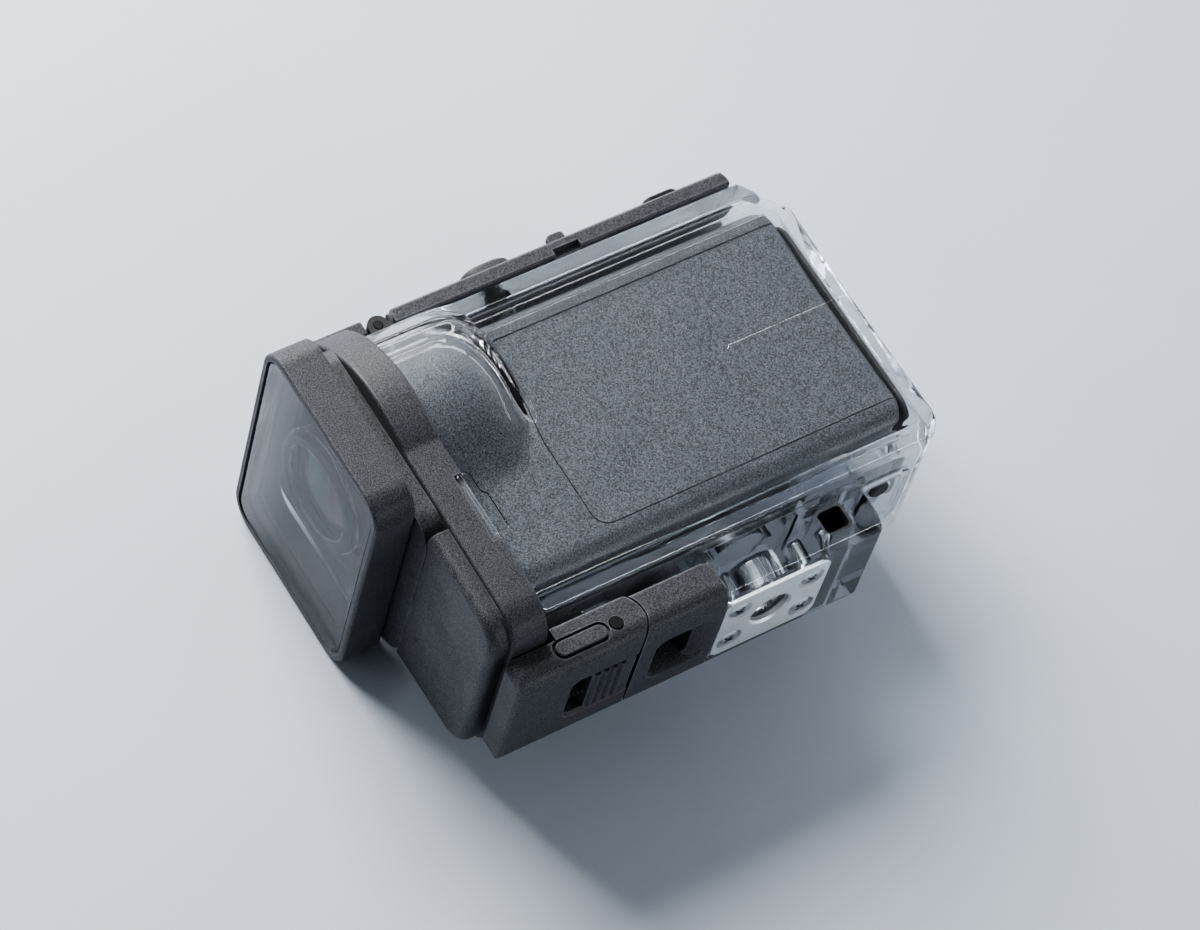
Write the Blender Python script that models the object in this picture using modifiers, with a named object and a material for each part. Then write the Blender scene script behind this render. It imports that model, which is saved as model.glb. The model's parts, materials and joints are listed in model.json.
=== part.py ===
"""Action camera in its clear underwater housing, with a hinged front lid and a buckle.

Everything is designed upright, in millimetres: X is the camera's own left, Y runs back from
the window, Z is up, and Z = 0 is the lower edge of the window hood. The finished assembly
lies on its right side, so that left becomes up.
"""

import math

import bmesh
import bpy
from mathutils import Matrix, Vector

MM = 0.001
GAP = 0.3

# Window hood
HOOD_HALF_W = 25.2
HOOD_H = 35.9
HOOD_DEPTH = 7.5
HOOD_R = 5.0
WINDOW_RIM = 1.2

# Lens
LENS_Z = 19.9
BARREL_R = 10.8

# Front lid
LID_FRONT = 8.0
BAND_FRONT = 11.5
BAND_REAR = 18.2
BAND_R = 23.0
LID_HALF_W = 20.9
LID_TAPER = 1.1
LID_BOTTOM = -25.3
LID_CORNER_R = 6.5
TOP_Z = 38.9
HINGE_Y, HINGE_Z = 23.2, 37.0
KNUCKLE_R = 1.85

# Clear shell
SHELL_HALF_W = 15.4
SHELL_FRONT = 14.6
SHELL_REAR = 97.9
SHELL_BOTTOM = -22.0
SHELL_TOP = 35.8
SHOULDER_Z = 26.8
DECK_HALF_W = 13.6
BULGE_R = 21.3
BULGE_END = 37.5
REAR_CORNER_R = 5.0
CAVITY_TOP = 33.3
CAVITY_REAR = 96.1

# Top cover and shutter button
COVER_FRONT = 26.0
COVER_REAR = 91.8
COVER_BOTTOM = SHELL_TOP + GAP
COVER_CROWN = 2.4
REC_X, REC_Y = 4.5, 46.8
REC_TOP = 42.3
REC_HALF_W, REC_HALF_L = 6.6, 5.3
REC_SHAFT_R = 1.4
REC_SPRING_ROOM_R = 2.9

# Base: buckle, latch, mounting block and tripod plate
BASE_HALF_W = 12.5
BASE_BOTTOM = -31.2
BASE_EDGE_R = 2.9
BUCKLE_FRONT = 9.8
BUCKLE_TOP = -23.4
BUCKLE_PIN_Y, BUCKLE_PIN_Z = 30.0, -27.3
BUCKLE_END_R = 5.1
BUCKLE_SWEEP_R = 5.4
SLIDER_FRONT, SLIDER_REAR = 24.8, 33.2
SLIDER_TOP, SLIDER_BOTTOM = -28.8, -31.5
LATCH_FRONT, LATCH_REAR = 33.5, 49.6
LATCH_TOP = -23.9
LATCH_CORNER_R = 2.3
BLOCK_REAR = 80.0
PLATE_HALF_W = 8.7
PLATE_REAR = 70.3
SOCKET_Y = 60.1
SOCKET_R = 3.175
SCREW_X, SCREW_DY = 4.6, 7.1

# Right-hand control panel, level with the hood's right face
PANEL_FRONT, PANEL_REAR = 38.0, 88.0
PANEL_BOTTOM, PANEL_TOP = -14.0, 28.0
SIDE_BUTTONS = {"menu_button": 50.0, "up_button": 62.0, "down_button": 74.0}
SIDE_BUTTON_Z = -5.0
SIDE_BUTTON_R = 3.4
SIDE_SHAFT_R = 1.3

# Camera inside the housing
CAM_HALF_W = 12.4
CAM_FRONT, CAM_REAR = 14.0, 95.0
CAM_BOTTOM, CAM_TOP = -16.5, 31.0
CAM_WALL = 1.5
CAM_BULGE_R = 18.5
CAM_CORNER_R = 4.5
DOOR_HALF_W = 9.0
DOOR_BOTTOM, DOOR_TOP = -12.0, 26.0
FIT = 0.5

# Placing: the model's lowest and highest upright Z set where its middle falls
LOWEST_Z = -31.5
LYING_CENTRE = Vector(((REC_TOP + LOWEST_Z) / 2, -SHELL_REAR / 2, HOOD_HALF_W)) * MM

COLOURS = {
    "graphite": ((0.035, 0.037, 0.042), 0.45, 0.0),
    "clear": ((0.75, 0.79, 0.82), 0.05, 0.0),
    "glass": ((0.25, 0.28, 0.31), 0.03, 0.0),
    "rubber": ((0.012, 0.012, 0.013), 0.7, 0.0),
    "camera_body": ((0.06, 0.062, 0.068), 0.4, 0.0),
    "lens_black": ((0.01, 0.01, 0.012), 0.3, 0.0),
    "lens_glass": ((0.05, 0.07, 0.07), 0.02, 0.0),
    "steel": ((0.6, 0.61, 0.62), 0.25, 1.0),
    "plate_metal": ((0.72, 0.73, 0.74), 0.35, 1.0),
    "circuit_board": ((0.02, 0.13, 0.06), 0.5, 0.0),
    "battery_wrap": ((0.05, 0.06, 0.09), 0.5, 0.0),
    "display": ((0.02, 0.03, 0.04), 0.1, 0.0),
    "foam": ((0.08, 0.08, 0.08), 0.9, 0.0),
}


def clear_scene():
    for obj in list(bpy.data.objects):
        bpy.data.objects.remove(obj, do_unlink=True)


def make_collection(name):
    collection = bpy.data.collections.new(name)
    bpy.context.scene.collection.children.link(collection)
    return collection


def make_material(name):
    colour, roughness, metallic = COLOURS[name]
    material = bpy.data.materials.new(name)
    material.use_nodes = True
    shader = material.node_tree.nodes["Principled BSDF"]
    shader.inputs["Base Color"].default_value = (*colour, 1.0)
    shader.inputs["Roughness"].default_value = roughness
    shader.inputs["Metallic"].default_value = metallic
    return material


clear_scene()
PARTS = make_collection("action_camera")
MATERIALS = {name: make_material(name) for name in COLOURS}
ROOT = bpy.data.objects.new("lying_frame", None)
ROOT.rotation_euler = (0.0, math.radians(-90), 0.0)
ROOT.location = LYING_CENTRE
PARTS.objects.link(ROOT)


# ---- outlines, as lists of (u, v) points in millimetres ----

def arc(cu, cv, radius, start, end, steps=6):
    """Points on a circle, from one angle to another in degrees."""
    angles = [math.radians(start + (end - start) * i / steps) for i in range(steps + 1)]
    return [(cu + radius * math.cos(a), cv + radius * math.sin(a)) for a in angles]


def rounded_rect(u0, u1, v0, v1, radius, steps=4):
    r = radius
    return (arc(u1 - r, v0 + r, r, -90, 0, steps) + arc(u1 - r, v1 - r, r, 0, 90, steps)
            + arc(u0 + r, v1 - r, r, 90, 180, steps) + arc(u0 + r, v0 + r, r, 180, 270, steps))


def circle(cu, cv, radius, steps=24):
    return arc(cu, cv, radius, 0, 360 - 360 / steps, steps - 1)


def superellipse(cu, cv, half_u, half_v, power=3.0, steps=32):
    points = []
    for i in range(steps):
        a = 2 * math.pi * i / steps
        c, s = math.cos(a), math.sin(a)
        points.append((cu + half_u * math.copysign(abs(c) ** (2 / power), c),
                       cv + half_v * math.copysign(abs(s) ** (2 / power), s)))
    return points


def mirrored(right_half):
    """Close an outline whose right half runs from bottom to top."""
    return right_half + [(-u, v) for u, v in reversed(right_half)]


def lid_outline(inset=0.0, steps=12):
    """The lid seen from the front: round about the lens, narrower and straight below."""
    d = inset
    radius = BAND_R - d
    corner = LID_CORNER_R - d
    low_w = LID_HALF_W - LID_TAPER - d
    top = TOP_Z - d
    meet = math.degrees(math.acos((LID_HALF_W - d) / radius))
    end = math.degrees(math.asin(min(1.0, (top - LENS_Z) / radius)))
    right = arc(low_w - corner, LID_BOTTOM + d + corner, corner, -90, 0, 5)
    right += arc(0, LENS_Z, radius, -meet, end, steps)
    return mirrored(right)


# ---- solids ----

AXES = {
    "x": Matrix(((0, 0, 1), (1, 0, 0), (0, 1, 0))).to_4x4(),
    "y": Matrix(((1, 0, 0), (0, 0, -1), (0, 1, 0))).to_4x4(),
    "z": Matrix.Identity(4),
}


def new_object(name, mesh):
    obj = bpy.data.objects.new(name, mesh)
    PARTS.objects.link(obj)
    return obj


def tidy_mesh(mesh, outward):
    """Weld a mesh and drop needless edges; a fresh single shell also gets outward faces."""
    bm = bmesh.new()
    bm.from_mesh(mesh)
    bmesh.ops.remove_doubles(bm, verts=bm.verts, dist=0.00001)
    bmesh.ops.dissolve_degenerate(bm, edges=bm.edges, dist=0.000001)
    bmesh.ops.dissolve_limit(bm, angle_limit=0.0005, verts=bm.verts, edges=bm.edges)
    if outward:
        bmesh.ops.recalc_face_normals(bm, faces=bm.faces)
    bm.to_mesh(mesh)
    bm.free()


def baked(obj, outward=True):
    """Replace an object with a plain mesh of its evaluated shape in the upright frame."""
    graph = bpy.context.evaluated_depsgraph_get()
    graph.update()
    mesh = bpy.data.meshes.new_from_object(obj.evaluated_get(graph), depsgraph=graph)
    mesh.transform(obj.matrix_world)
    name = obj.name
    bpy.data.objects.remove(obj, do_unlink=True)
    tidy_mesh(mesh, outward)
    result = new_object(name, mesh)
    result.name = name
    return result


def prism(name, outline, axis, low, high, bevel=0.0, segments=2):
    """A flat outline extruded along an axis: (y, z) along x, (x, z) along y, (x, y) along z."""
    curve = bpy.data.curves.new(name, "CURVE")
    curve.dimensions = "2D"
    curve.fill_mode = "BOTH"
    curve.extrude = (high - low) / 2 * MM
    spline = curve.splines.new("POLY")
    spline.points.add(len(outline) - 1)
    for point, (u, v) in zip(spline.points, outline):
        point.co = (u * MM, v * MM, 0.0, 1.0)
    spline.use_cyclic_u = True
    obj = new_object(name, curve)
    middle = (low + high) / 2 * MM
    along = -1.0 if axis == "y" else 1.0
    obj.matrix_world = AXES[axis] @ Matrix.Translation((0, 0, along * middle))
    bpy.context.view_layer.update()
    obj = baked(obj)
    if bevel:
        soften(obj, bevel, segments)
        obj = baked(obj)
    return obj


def soften(obj, width, segments=2, angle=40):
    modifier = obj.modifiers.new("soft_edges", "BEVEL")
    modifier.width = width * MM
    modifier.segments = segments
    modifier.limit_method = "ANGLE"
    modifier.angle_limit = math.radians(angle)
    modifier.use_clamp_overlap = True


def box(name, x0, x1, y0, y1, z0, z1, bevel=0.0, segments=2):
    """A block from a cube primitive, with optional rounded edges."""
    bpy.ops.mesh.primitive_cube_add(size=1.0)
    obj = bpy.context.object
    obj.name = name
    for collection in list(obj.users_collection):
        collection.objects.unlink(obj)
    PARTS.objects.link(obj)
    size = Matrix.Diagonal(((x1 - x0) * MM, (y1 - y0) * MM, (z1 - z0) * MM, 1.0))
    centre = Vector(((x0 + x1) / 2, (y0 + y1) / 2, (z0 + z1) / 2)) * MM
    obj.data.transform(Matrix.Translation(centre) @ size)
    if bevel:
        soften(obj, bevel, segments)
        obj = baked(obj)
    return obj


def turned(name, profile, axis, centre, steps=32):
    """A profile of (radius, height) points turned about an axis through centre.

    Heights are positions along the axis. A profile that starts and ends on the axis makes a
    solid; any other profile is closed on itself and makes a ring.
    """
    mesh = bpy.data.meshes.new(name)
    solid = profile[0][0] == 0 and profile[-1][0] == 0
    count = len(profile)
    edges = [(i, i + 1) for i in range(count - 1)]
    if not solid:
        edges.append((count - 1, 0))
    mesh.from_pydata([(r * MM, 0, h * MM) for r, h in profile], edges, [])
    obj = new_object(name, mesh)
    screw = obj.modifiers.new("turn", "SCREW")
    screw.axis = "Z"
    screw.steps = steps
    screw.render_steps = steps
    screw.use_merge_vertices = True
    screw.merge_threshold = 0.000005
    turn = {"x": Matrix.Rotation(math.radians(90), 4, "Y"),
            "y": Matrix.Rotation(math.radians(-90), 4, "X"),
            "z": Matrix.Identity(4)}[axis]
    obj.matrix_world = Matrix.Translation(Vector(centre) * MM) @ turn
    bpy.context.view_layer.update()
    return baked(obj)


def rod(name, axis, centre, radius, low, high, steps=24):
    return turned(name, [(0, high), (radius, high), (radius, low), (0, low)], axis, centre, steps)


def boolean(target, tool, operation):
    modifier = target.modifiers.new(operation.lower(), "BOOLEAN")
    modifier.operation = operation
    modifier.object = tool
    modifier.solver = "EXACT"
    result = baked(target, outward=False)
    bpy.data.objects.remove(tool, do_unlink=True)
    return result


def cut(target, *tools):
    for tool in tools:
        target = boolean(target, tool, "DIFFERENCE")
    return target


def join(target, *tools):
    for tool in tools:
        target = boolean(target, tool, "UNION")
    return target


def keep_common(target, *tools):
    for tool in tools:
        target = boolean(target, tool, "INTERSECT")
    return target


def coil(name, axis, centre, radius, wire, low, high, turns):
    """A compression spring, as one wire on a helix."""
    points_per_turn = 8
    count = int(turns * points_per_turn) + 1
    curve = bpy.data.curves.new(name, "CURVE")
    curve.dimensions = "3D"
    curve.bevel_depth = wire * MM
    curve.bevel_resolution = 0
    curve.use_fill_caps = True
    spline = curve.splines.new("POLY")
    spline.points.add(count - 1)
    for i, point in enumerate(spline.points):
        a = 2 * math.pi * i / points_per_turn
        height = low + wire + (high - low - 2 * wire) * i / (count - 1)
        point.co = (radius * MM * math.cos(a), radius * MM * math.sin(a), height * MM, 1.0)
    obj = new_object(name, curve)
    turn = {"x": Matrix.Rotation(math.radians(90), 4, "Y"),
            "y": Matrix.Rotation(math.radians(-90), 4, "X"),
            "z": Matrix.Identity(4)}[axis]
    obj.matrix_world = Matrix.Translation(Vector(centre) * MM) @ turn
    bpy.context.view_layer.update()
    return baked(obj)


def finish(obj, material, pivot=(0, 0, 0)):
    """Give a part its material, put its origin on its joint and lay it in the frame."""
    obj.data.materials.clear()
    obj.data.materials.append(MATERIALS[material])
    shift = Vector(pivot) * MM
    obj.data.transform(Matrix.Translation(-shift))
    obj.data.shade_smooth()
    obj.data.set_sharp_from_angle(angle=math.radians(35))
    obj.parent = ROOT
    obj.location = shift
    return obj


LID_PIVOT = (0, HINGE_Y, HINGE_Z)
BUCKLE_PIVOT = (0, BUCKLE_PIN_Y, BUCKLE_PIN_Z)
SLIDER_PIVOT = (0, 29.0, -30.0)
REC_PIVOT = (REC_X, REC_Y, REC_TOP)


# ---- clear shell ----

def shell_section(inset=0.0):
    """The shell's cross-section: flat sides, a shoulder, and a narrower deck on top."""
    d = inset
    right = arc(SHELL_HALF_W - d - 3.0, SHELL_BOTTOM + d + 3.0, 3.0, -90, 0, 4)
    right += [(SHELL_HALF_W - d, -19.0), (SHELL_HALF_W + 0.5 - d, -18.6),
              (SHELL_HALF_W + 0.5 - d, -17.0), (SHELL_HALF_W - d, -16.6)]
    right += arc(SHELL_HALF_W - 2.2 - d, SHOULDER_Z, 2.2, 0, 60, 3)
    right += [(DECK_HALF_W - d, SHOULDER_Z + 2.6), (DECK_HALF_W - d, SHELL_TOP - 0.8 - d),
              (DECK_HALF_W - 0.8 - d, SHELL_TOP - d)]
    return mirrored(right)


def shell_side_outline():
    """The shell seen from the side, with its rounded and sloping rear corners."""
    points = [(SHELL_FRONT, SHELL_BOTTOM)]
    middle = SHELL_REAR - REAR_CORNER_R
    points += arc(middle, SHELL_BOTTOM + REAR_CORNER_R, REAR_CORNER_R, -90, 0, 5)
    points += arc(middle, SHOULDER_Z, REAR_CORNER_R, 0, 48, 4)
    points += [(92.8, SHELL_TOP), (SHELL_FRONT, SHELL_TOP)]
    return points


def bulge(name, radius, front, rear, flat_top):
    """The round swelling about the lens axis, with a soft shoulder and a flat top."""
    drop = radius - SHELL_HALF_W + 1.0
    shoulder = rear - 9.0
    profile = [(0, rear), (radius - drop, rear)]
    profile += [(radius - drop * (1 - math.sin(math.radians(a))),
                 shoulder + 9.0 * math.cos(math.radians(a))) for a in (22, 45, 68)]
    profile += [(radius, shoulder), (radius, front), (0, front)]
    solid = turned(name, profile, "y", (0, 0, LENS_Z), 48)
    keep = box("flat_top_keep", -40, 40, front - 5, rear + 5, -40, flat_top)
    return keep_common(solid, keep)


def housing_shell():
    shell = prism("housing_shell", shell_section(), "y", SHELL_FRONT, SHELL_REAR)
    shell = keep_common(shell, prism("side_keep", shell_side_outline(), "x", -30, 30))
    shell = join(shell, bulge("bulge_add", BULGE_R, SHELL_FRONT + 4.2, BULGE_END, SHELL_TOP))
    flange = prism("flange_add", lid_outline(3.2), "y", SHELL_FRONT, SHELL_FRONT + 4.9)
    flange = keep_common(flange, box("flange_keep", -40, 40, 0, 40, -40, SHELL_TOP))
    shell = join(shell, flange)
    cavity = rounded_rect(-CAM_HALF_W - FIT, CAM_HALF_W + FIT, -18.0, CAVITY_TOP, 2.5)
    cavity = prism("cavity_cut", cavity, "y", SHELL_FRONT - 1, CAVITY_REAR)
    sloped_rear = [(SHELL_FRONT - 2, -30), (CAVITY_REAR + 0.4, -30), (CAVITY_REAR + 0.4, 26.8),
                   (CAVITY_REAR - 3.8, CAVITY_TOP), (CAVITY_REAR - 4.5, 40), (SHELL_FRONT - 2, 40)]
    cavity = keep_common(cavity, prism("cavity_keep", sloped_rear, "x", -30, 30))
    round_room = bulge("bulge_room", CAM_BULGE_R + 0.6, SHELL_FRONT - 1, BULGE_END - 2.0,
                       CAVITY_TOP)
    shell = cut(shell, cavity, round_room)
    knuckle_room = rod("knuckle_room", "x", (0, HINGE_Y, HINGE_Z), KNUCKLE_R + 0.35, -14.2, 14.2)
    shell = cut(shell, knuckle_room)
    for side in (-1, 1):
        inner, outer = sorted((side * 6.6, side * 9.4))
        lug = circle(BUCKLE_PIN_Y, BUCKLE_PIN_Z, 2.6, 20)
        lug = prism("lug_add", lug, "x", inner, outer)
        web = box("web_add", inner, outer, BUCKLE_PIN_Y - 2.5, BUCKLE_PIN_Y + 2.5,
                  BUCKLE_PIN_Z, SHELL_BOTTOM + 1.0)
        shell = join(shell, join(lug, web))
    shell = cut(shell, rod("pin_hole", "x", BUCKLE_PIVOT, 1.2, -12, 12, 16))
    shell = cut(shell, rod("rec_hole", "z", (REC_X, REC_Y, 0), REC_SHAFT_R + 0.25, 30, 38, 16))
    shell = cut(shell, rod("oring_room", "z", (REC_X, REC_Y, 0), 2.7, 34.6, 38, 20))
    for y in SIDE_BUTTONS.values():
        hole = rod("side_hole", "x", (0, y, SIDE_BUTTON_Z), SIDE_SHAFT_R + GAP, -18, -11, 16)
        shell = cut(shell, hole)
    plug_room = rod("plug_room", "z", (4.0, 87.0, 0), 2.3, -23.0, -21.0, 20)
    shell = cut(shell, plug_room)
    return finish(shell, "clear")


def pressure_plug():
    """Small round pressure plug set in the underside of the shell."""
    plug = turned("pressure_plug", [(0, -21.3), (1.9, -21.3), (1.9, -22.0), (1.5, -22.3), (0, -22.3)],
                  "z", (4.0, 87.0, 0), 20)
    finish(plug, "rubber")


# ---- top cover and its controls ----

def crown_z(x):
    """Height of the arched top cover at a distance from its middle line."""
    return TOP_Z + COVER_CROWN * (1 - (x / DECK_HALF_W) ** 2)


def top_cover():
    xs = [DECK_HALF_W * (1 - i / 8) for i in range(9)]
    right = [(DECK_HALF_W - 0.5, COVER_BOTTOM), (DECK_HALF_W, COVER_BOTTOM + 0.5)]
    right += [(x, crown_z(x)) for x in xs[:-1]]
    section = right + [(0, crown_z(0))] + [(-x, z) for x, z in reversed(right)]
    cover = prism("top_cover", section, "y", COVER_FRONT, COVER_REAR)
    high = TOP_Z + COVER_CROWN + 0.1
    side = [(COVER_FRONT + 0.2, COVER_BOTTOM - 1), (COVER_REAR + 0.2, COVER_BOTTOM - 1),
            (COVER_REAR + 0.2, COVER_BOTTOM + 0.4), (COVER_REAR - 1.6, high)]
    side += arc(COVER_FRONT + 4.2, high - 4.0, 4.0, 90, 180, 5)
    cover = keep_common(cover, prism("cover_keep", side, "x", -30, 30))
    room = superellipse(REC_X, REC_Y, REC_HALF_W + 0.35, REC_HALF_L + 0.35)
    cover = cut(cover, prism("button_room", room, "z", 38.2, 46.0))
    cover = cut(cover, rod("spring_room", "z", (REC_X, REC_Y, 0), REC_SPRING_ROOM_R, 36.9, 39.0, 20))
    cover = cut(cover, rod("shaft_room", "z", (REC_X, REC_Y, 0), REC_SHAFT_R + 0.25, 34.0, 38.0, 16))
    cover = cut(cover, box("side_notch", DECK_HALF_W - 1.2, DECK_HALF_W + 1, 57, 62, 35.5, 37.4))
    cover = cut(cover, box("lamp_room", 8.3, 12.2, 76.7, 84.3, 38.0, 42.0))
    cover = cut(cover, box("fin_room", 10.9, 12.7, 57.4, 61.4, 38.0, 42.0))
    return finish(cover, "graphite")


def tally_window():
    """Low window over the rear recording lamp."""
    window = box("tally_window", 8.6, 11.9, 77.0, 84.0, 38.3, crown_z(10.25) + 0.75, 0.5)
    finish(window, "lens_black")


def status_fin():
    """Small raised light guide beside the shutter button."""
    fin = box("status_fin", 11.2, 12.4, 57.7, 61.1, 38.3, crown_z(11.8) + 1.3, 0.4)
    finish(fin, "graphite")


def rec_button():
    cap = superellipse(REC_X, REC_Y, REC_HALF_W, REC_HALF_L)
    cap = prism("rec_button", cap, "z", 39.5, REC_TOP, bevel=0.9, segments=3)
    cap = cut(cap, rod("spring_seat", "z", (REC_X, REC_Y, 0), REC_SPRING_ROOM_R, 38.0, 40.4, 20))
    cap = join(cap, rod("rec_shaft", "z", (REC_X, REC_Y, 0), REC_SHAFT_R, 32.6, 41.0, 16))
    groove = turned("clip_groove", [(2.0, 33.35), (2.0, 32.95), (1.0, 32.95), (1.0, 33.35)],
                    "z", (REC_X, REC_Y, 0), 16)
    finish(cut(cap, groove), "graphite", REC_PIVOT)
    spring = coil("rec_button_spring", "z", (REC_X, REC_Y, 0), 2.2, 0.28, 37.1, 40.2, 3)
    finish(spring, "steel", REC_PIVOT)
    clip = turned("rec_button_clip", [(2.3, 33.25), (2.3, 33.05), (1.15, 33.05), (1.15, 33.25)],
                  "z", (REC_X, REC_Y, 0), 16)
    finish(clip, "steel", REC_PIVOT)
    section = [(2.05 + 0.45 * math.cos(math.radians(a)), 35.25 + 0.45 * math.sin(math.radians(a)))
               for a in range(90, -270, -60)]
    seal = turned("rec_button_oring", section, "z", (REC_X, REC_Y, 0), 20)
    finish(seal, "rubber")


# ---- hinge ----

def hinge():
    """Black bracket on the shell's deck with two ears, and the pin through them."""
    bracket = None
    for side in (-1, 1):
        inner, outer = sorted((side * 10.0, side * 13.5))
        ear = circle(HINGE_Y, HINGE_Z, KNUCKLE_R, 20)
        ear = prism("hinge_bracket", ear, "x", inner, outer)
        foot = box("ear_foot", inner, outer, HINGE_Y - KNUCKLE_R, HINGE_Y + 2.5,
                   SHELL_TOP + 0.25, HINGE_Z)
        ear = join(ear, foot)
        bracket = ear if bracket is None else join(bracket, ear)
    bar = box("bracket_bar", -13.5, 13.5, HINGE_Y + 2.1, HINGE_Y + 2.5, SHELL_TOP + 0.25,
              HINGE_Z + 1.2)
    bracket = join(bracket, bar)
    bracket = cut(bracket, rod("pin_hole", "x", (0, HINGE_Y, HINGE_Z), 0.85, -20, 20, 16))
    bracket.name = "hinge_bracket"
    finish(bracket, "rubber")
    finish(rod("hinge_pin", "x", (0, HINGE_Y, HINGE_Z), 0.75, -13.6, 13.6, 16), "steel")


# ---- front lid ----

def lid_frame():
    band = prism("lid_frame", lid_outline(), "y", BAND_FRONT, BAND_REAR, bevel=0.5)
    band = cut(band, prism("band_room", lid_outline(2.0), "y", BAND_FRONT + 1.6, BAND_REAR + 1))
    chin = prism("chin", lid_outline(0.9), "y", LID_FRONT, BAND_FRONT + 1.0, bevel=1.6, segments=3)
    chin = keep_common(chin, box("chin_keep", -40, 40, 0, 20, -40, -3.7))
    neck = prism("neck", rounded_rect(-19.5, 19.5, -4.2, 35.2, 5.0), "y", HOOD_DEPTH + GAP, 12.0)
    tab = box("tab", -DECK_HALF_W, DECK_HALF_W, HOOD_DEPTH + GAP, HINGE_Y - 2.3, 36.2, TOP_Z)
    frame = join(band, chin, neck, tab)
    knuckle = prism("knuckle", circle(HINGE_Y, HINGE_Z, KNUCKLE_R, 20), "x", -9.7, 9.7)
    arm = box("knuckle_arm", -9.7, 9.7, HINGE_Y - 3.0, HINGE_Y, HINGE_Z, TOP_Z - 0.05)
    frame = join(frame, knuckle, arm)
    frame = cut(frame, rod("pin_hole", "x", (0, HINGE_Y, HINGE_Z), 0.85, -20, 20, 16))
    opening = rounded_rect(-17.5, 17.5, 3.6, 33.4, 4.0)
    frame = cut(frame, prism("opening", opening, "y", 5, 15))
    chin_room = rounded_rect(-17.0, 17.0, -22.0, 8.0, 3.0)
    frame = cut(frame, prism("chin_room", chin_room, "y", LID_FRONT + 1.8, 15))
    for side in (-1, 1):
        inner, outer = sorted((side * 19.6, side * 23))
        frame = cut(frame, box("clip_room", inner, outer, 16.6, 20, -9.0, 3.8))
    finish(frame, "graphite", LID_PIVOT)


def lid_clips():
    """Clear spring clips let into the band's rear edge on both sides."""
    for name, side in (("lid_clip_left", 1), ("lid_clip_right", -1)):
        inner, outer = sorted((side * 19.9, side * 20.7))
        outline = rounded_rect(17.2, 20.2, -8.7, 3.5, 0.9, 3)
        finish(prism(name, outline, "x", inner, outer), "clear", LID_PIVOT)


def window_hood():
    outer = rounded_rect(-HOOD_HALF_W, HOOD_HALF_W, 0, HOOD_H, HOOD_R, 6)
    hood = prism("window_hood", outer, "y", 0, HOOD_DEPTH, bevel=0.7, segments=2)
    rim = WINDOW_RIM
    seat = rounded_rect(-HOOD_HALF_W + rim, HOOD_HALF_W - rim, rim, HOOD_H - rim, HOOD_R - rim, 6)
    hood = cut(hood, prism("window_seat", seat, "y", -1, 3.9))
    inner = rounded_rect(-20.5, 20.5, 3.4, HOOD_H - 3.4, 4.0, 4)
    hood = cut(hood, prism("light_opening", inner, "y", 2, 9))
    finish(hood, "graphite", LID_PIVOT)


def window_glass():
    rim = WINDOW_RIM + GAP
    outline = rounded_rect(-HOOD_HALF_W + rim, HOOD_HALF_W - rim, rim, HOOD_H - rim,
                           HOOD_R - rim, 6)
    finish(prism("front_window", outline, "y", 0.35, 2.4, bevel=0.2, segments=1), "glass", LID_PIVOT)
    seal = prism("window_seal", outline, "y", 2.7, 3.6)
    hole = rounded_rect(-21.0, 21.0, 3.9, HOOD_H - 3.9, 3.5, 4)
    seal = cut(seal, prism("seal_hole", hole, "y", 2, 5))
    finish(seal, "rubber", LID_PIVOT)


def main_gasket():
    """Seal between the lid and the shell's front flange, carried by the lid."""
    gasket = prism("main_gasket", lid_outline(2.4), "y", BAND_FRONT + 1.9, SHELL_FRONT - GAP)
    gasket = cut(gasket, prism("gasket_hole", lid_outline(4.0), "y", 10, 20))
    gasket = keep_common(gasket, box("gasket_keep", -40, 40, 0, 40, -40, TOP_Z - 3.0))
    finish(gasket, "rubber", LID_PIVOT)


# ---- base: buckle, latch block, clear block and tripod plate ----

def base_slab(name, y0, y1, z1, corner=BASE_EDGE_R):
    """A stretch of the base, with its two long lower edges rounded."""
    right = arc(BASE_HALF_W - corner, BASE_BOTTOM + corner, corner, -90, 0, 4)
    right += [(BASE_HALF_W, z1 - 0.6), (BASE_HALF_W - 0.6, z1)]
    return prism(name, mirrored(right), "y", y0, y1)


def buckle_side_outline():
    """The buckle from the side: a square front, a step under the lid and a rear end that
    follows a circle about its pin, so that it turns inside the latch block."""
    front_r, top_r = 1.0, 1.6
    step_y, step_z = 19.6, LID_BOTTOM - 0.4
    outline = arc(BUCKLE_FRONT + front_r, BASE_BOTTOM + front_r, front_r, 180, 270, 4)
    low = math.degrees(math.asin((BASE_BOTTOM - BUCKLE_PIN_Z) / BUCKLE_END_R))
    rise = BUCKLE_TOP - top_r - BUCKLE_PIN_Z
    turn = math.asin(rise / (BUCKLE_END_R - top_r))
    corner_y = BUCKLE_PIN_Y + (BUCKLE_END_R - top_r) * math.cos(turn)
    turn = math.degrees(turn)
    outline += arc(BUCKLE_PIN_Y, BUCKLE_PIN_Z, BUCKLE_END_R, low, turn, 12)
    outline += arc(corner_y, BUCKLE_TOP - top_r, top_r, turn, 90, 5)[1:]
    return outline + [(step_y, BUCKLE_TOP), (step_y, step_z), (BUCKLE_FRONT + 0.9, step_z),
                      (BUCKLE_FRONT, step_z - 0.9)]


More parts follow.
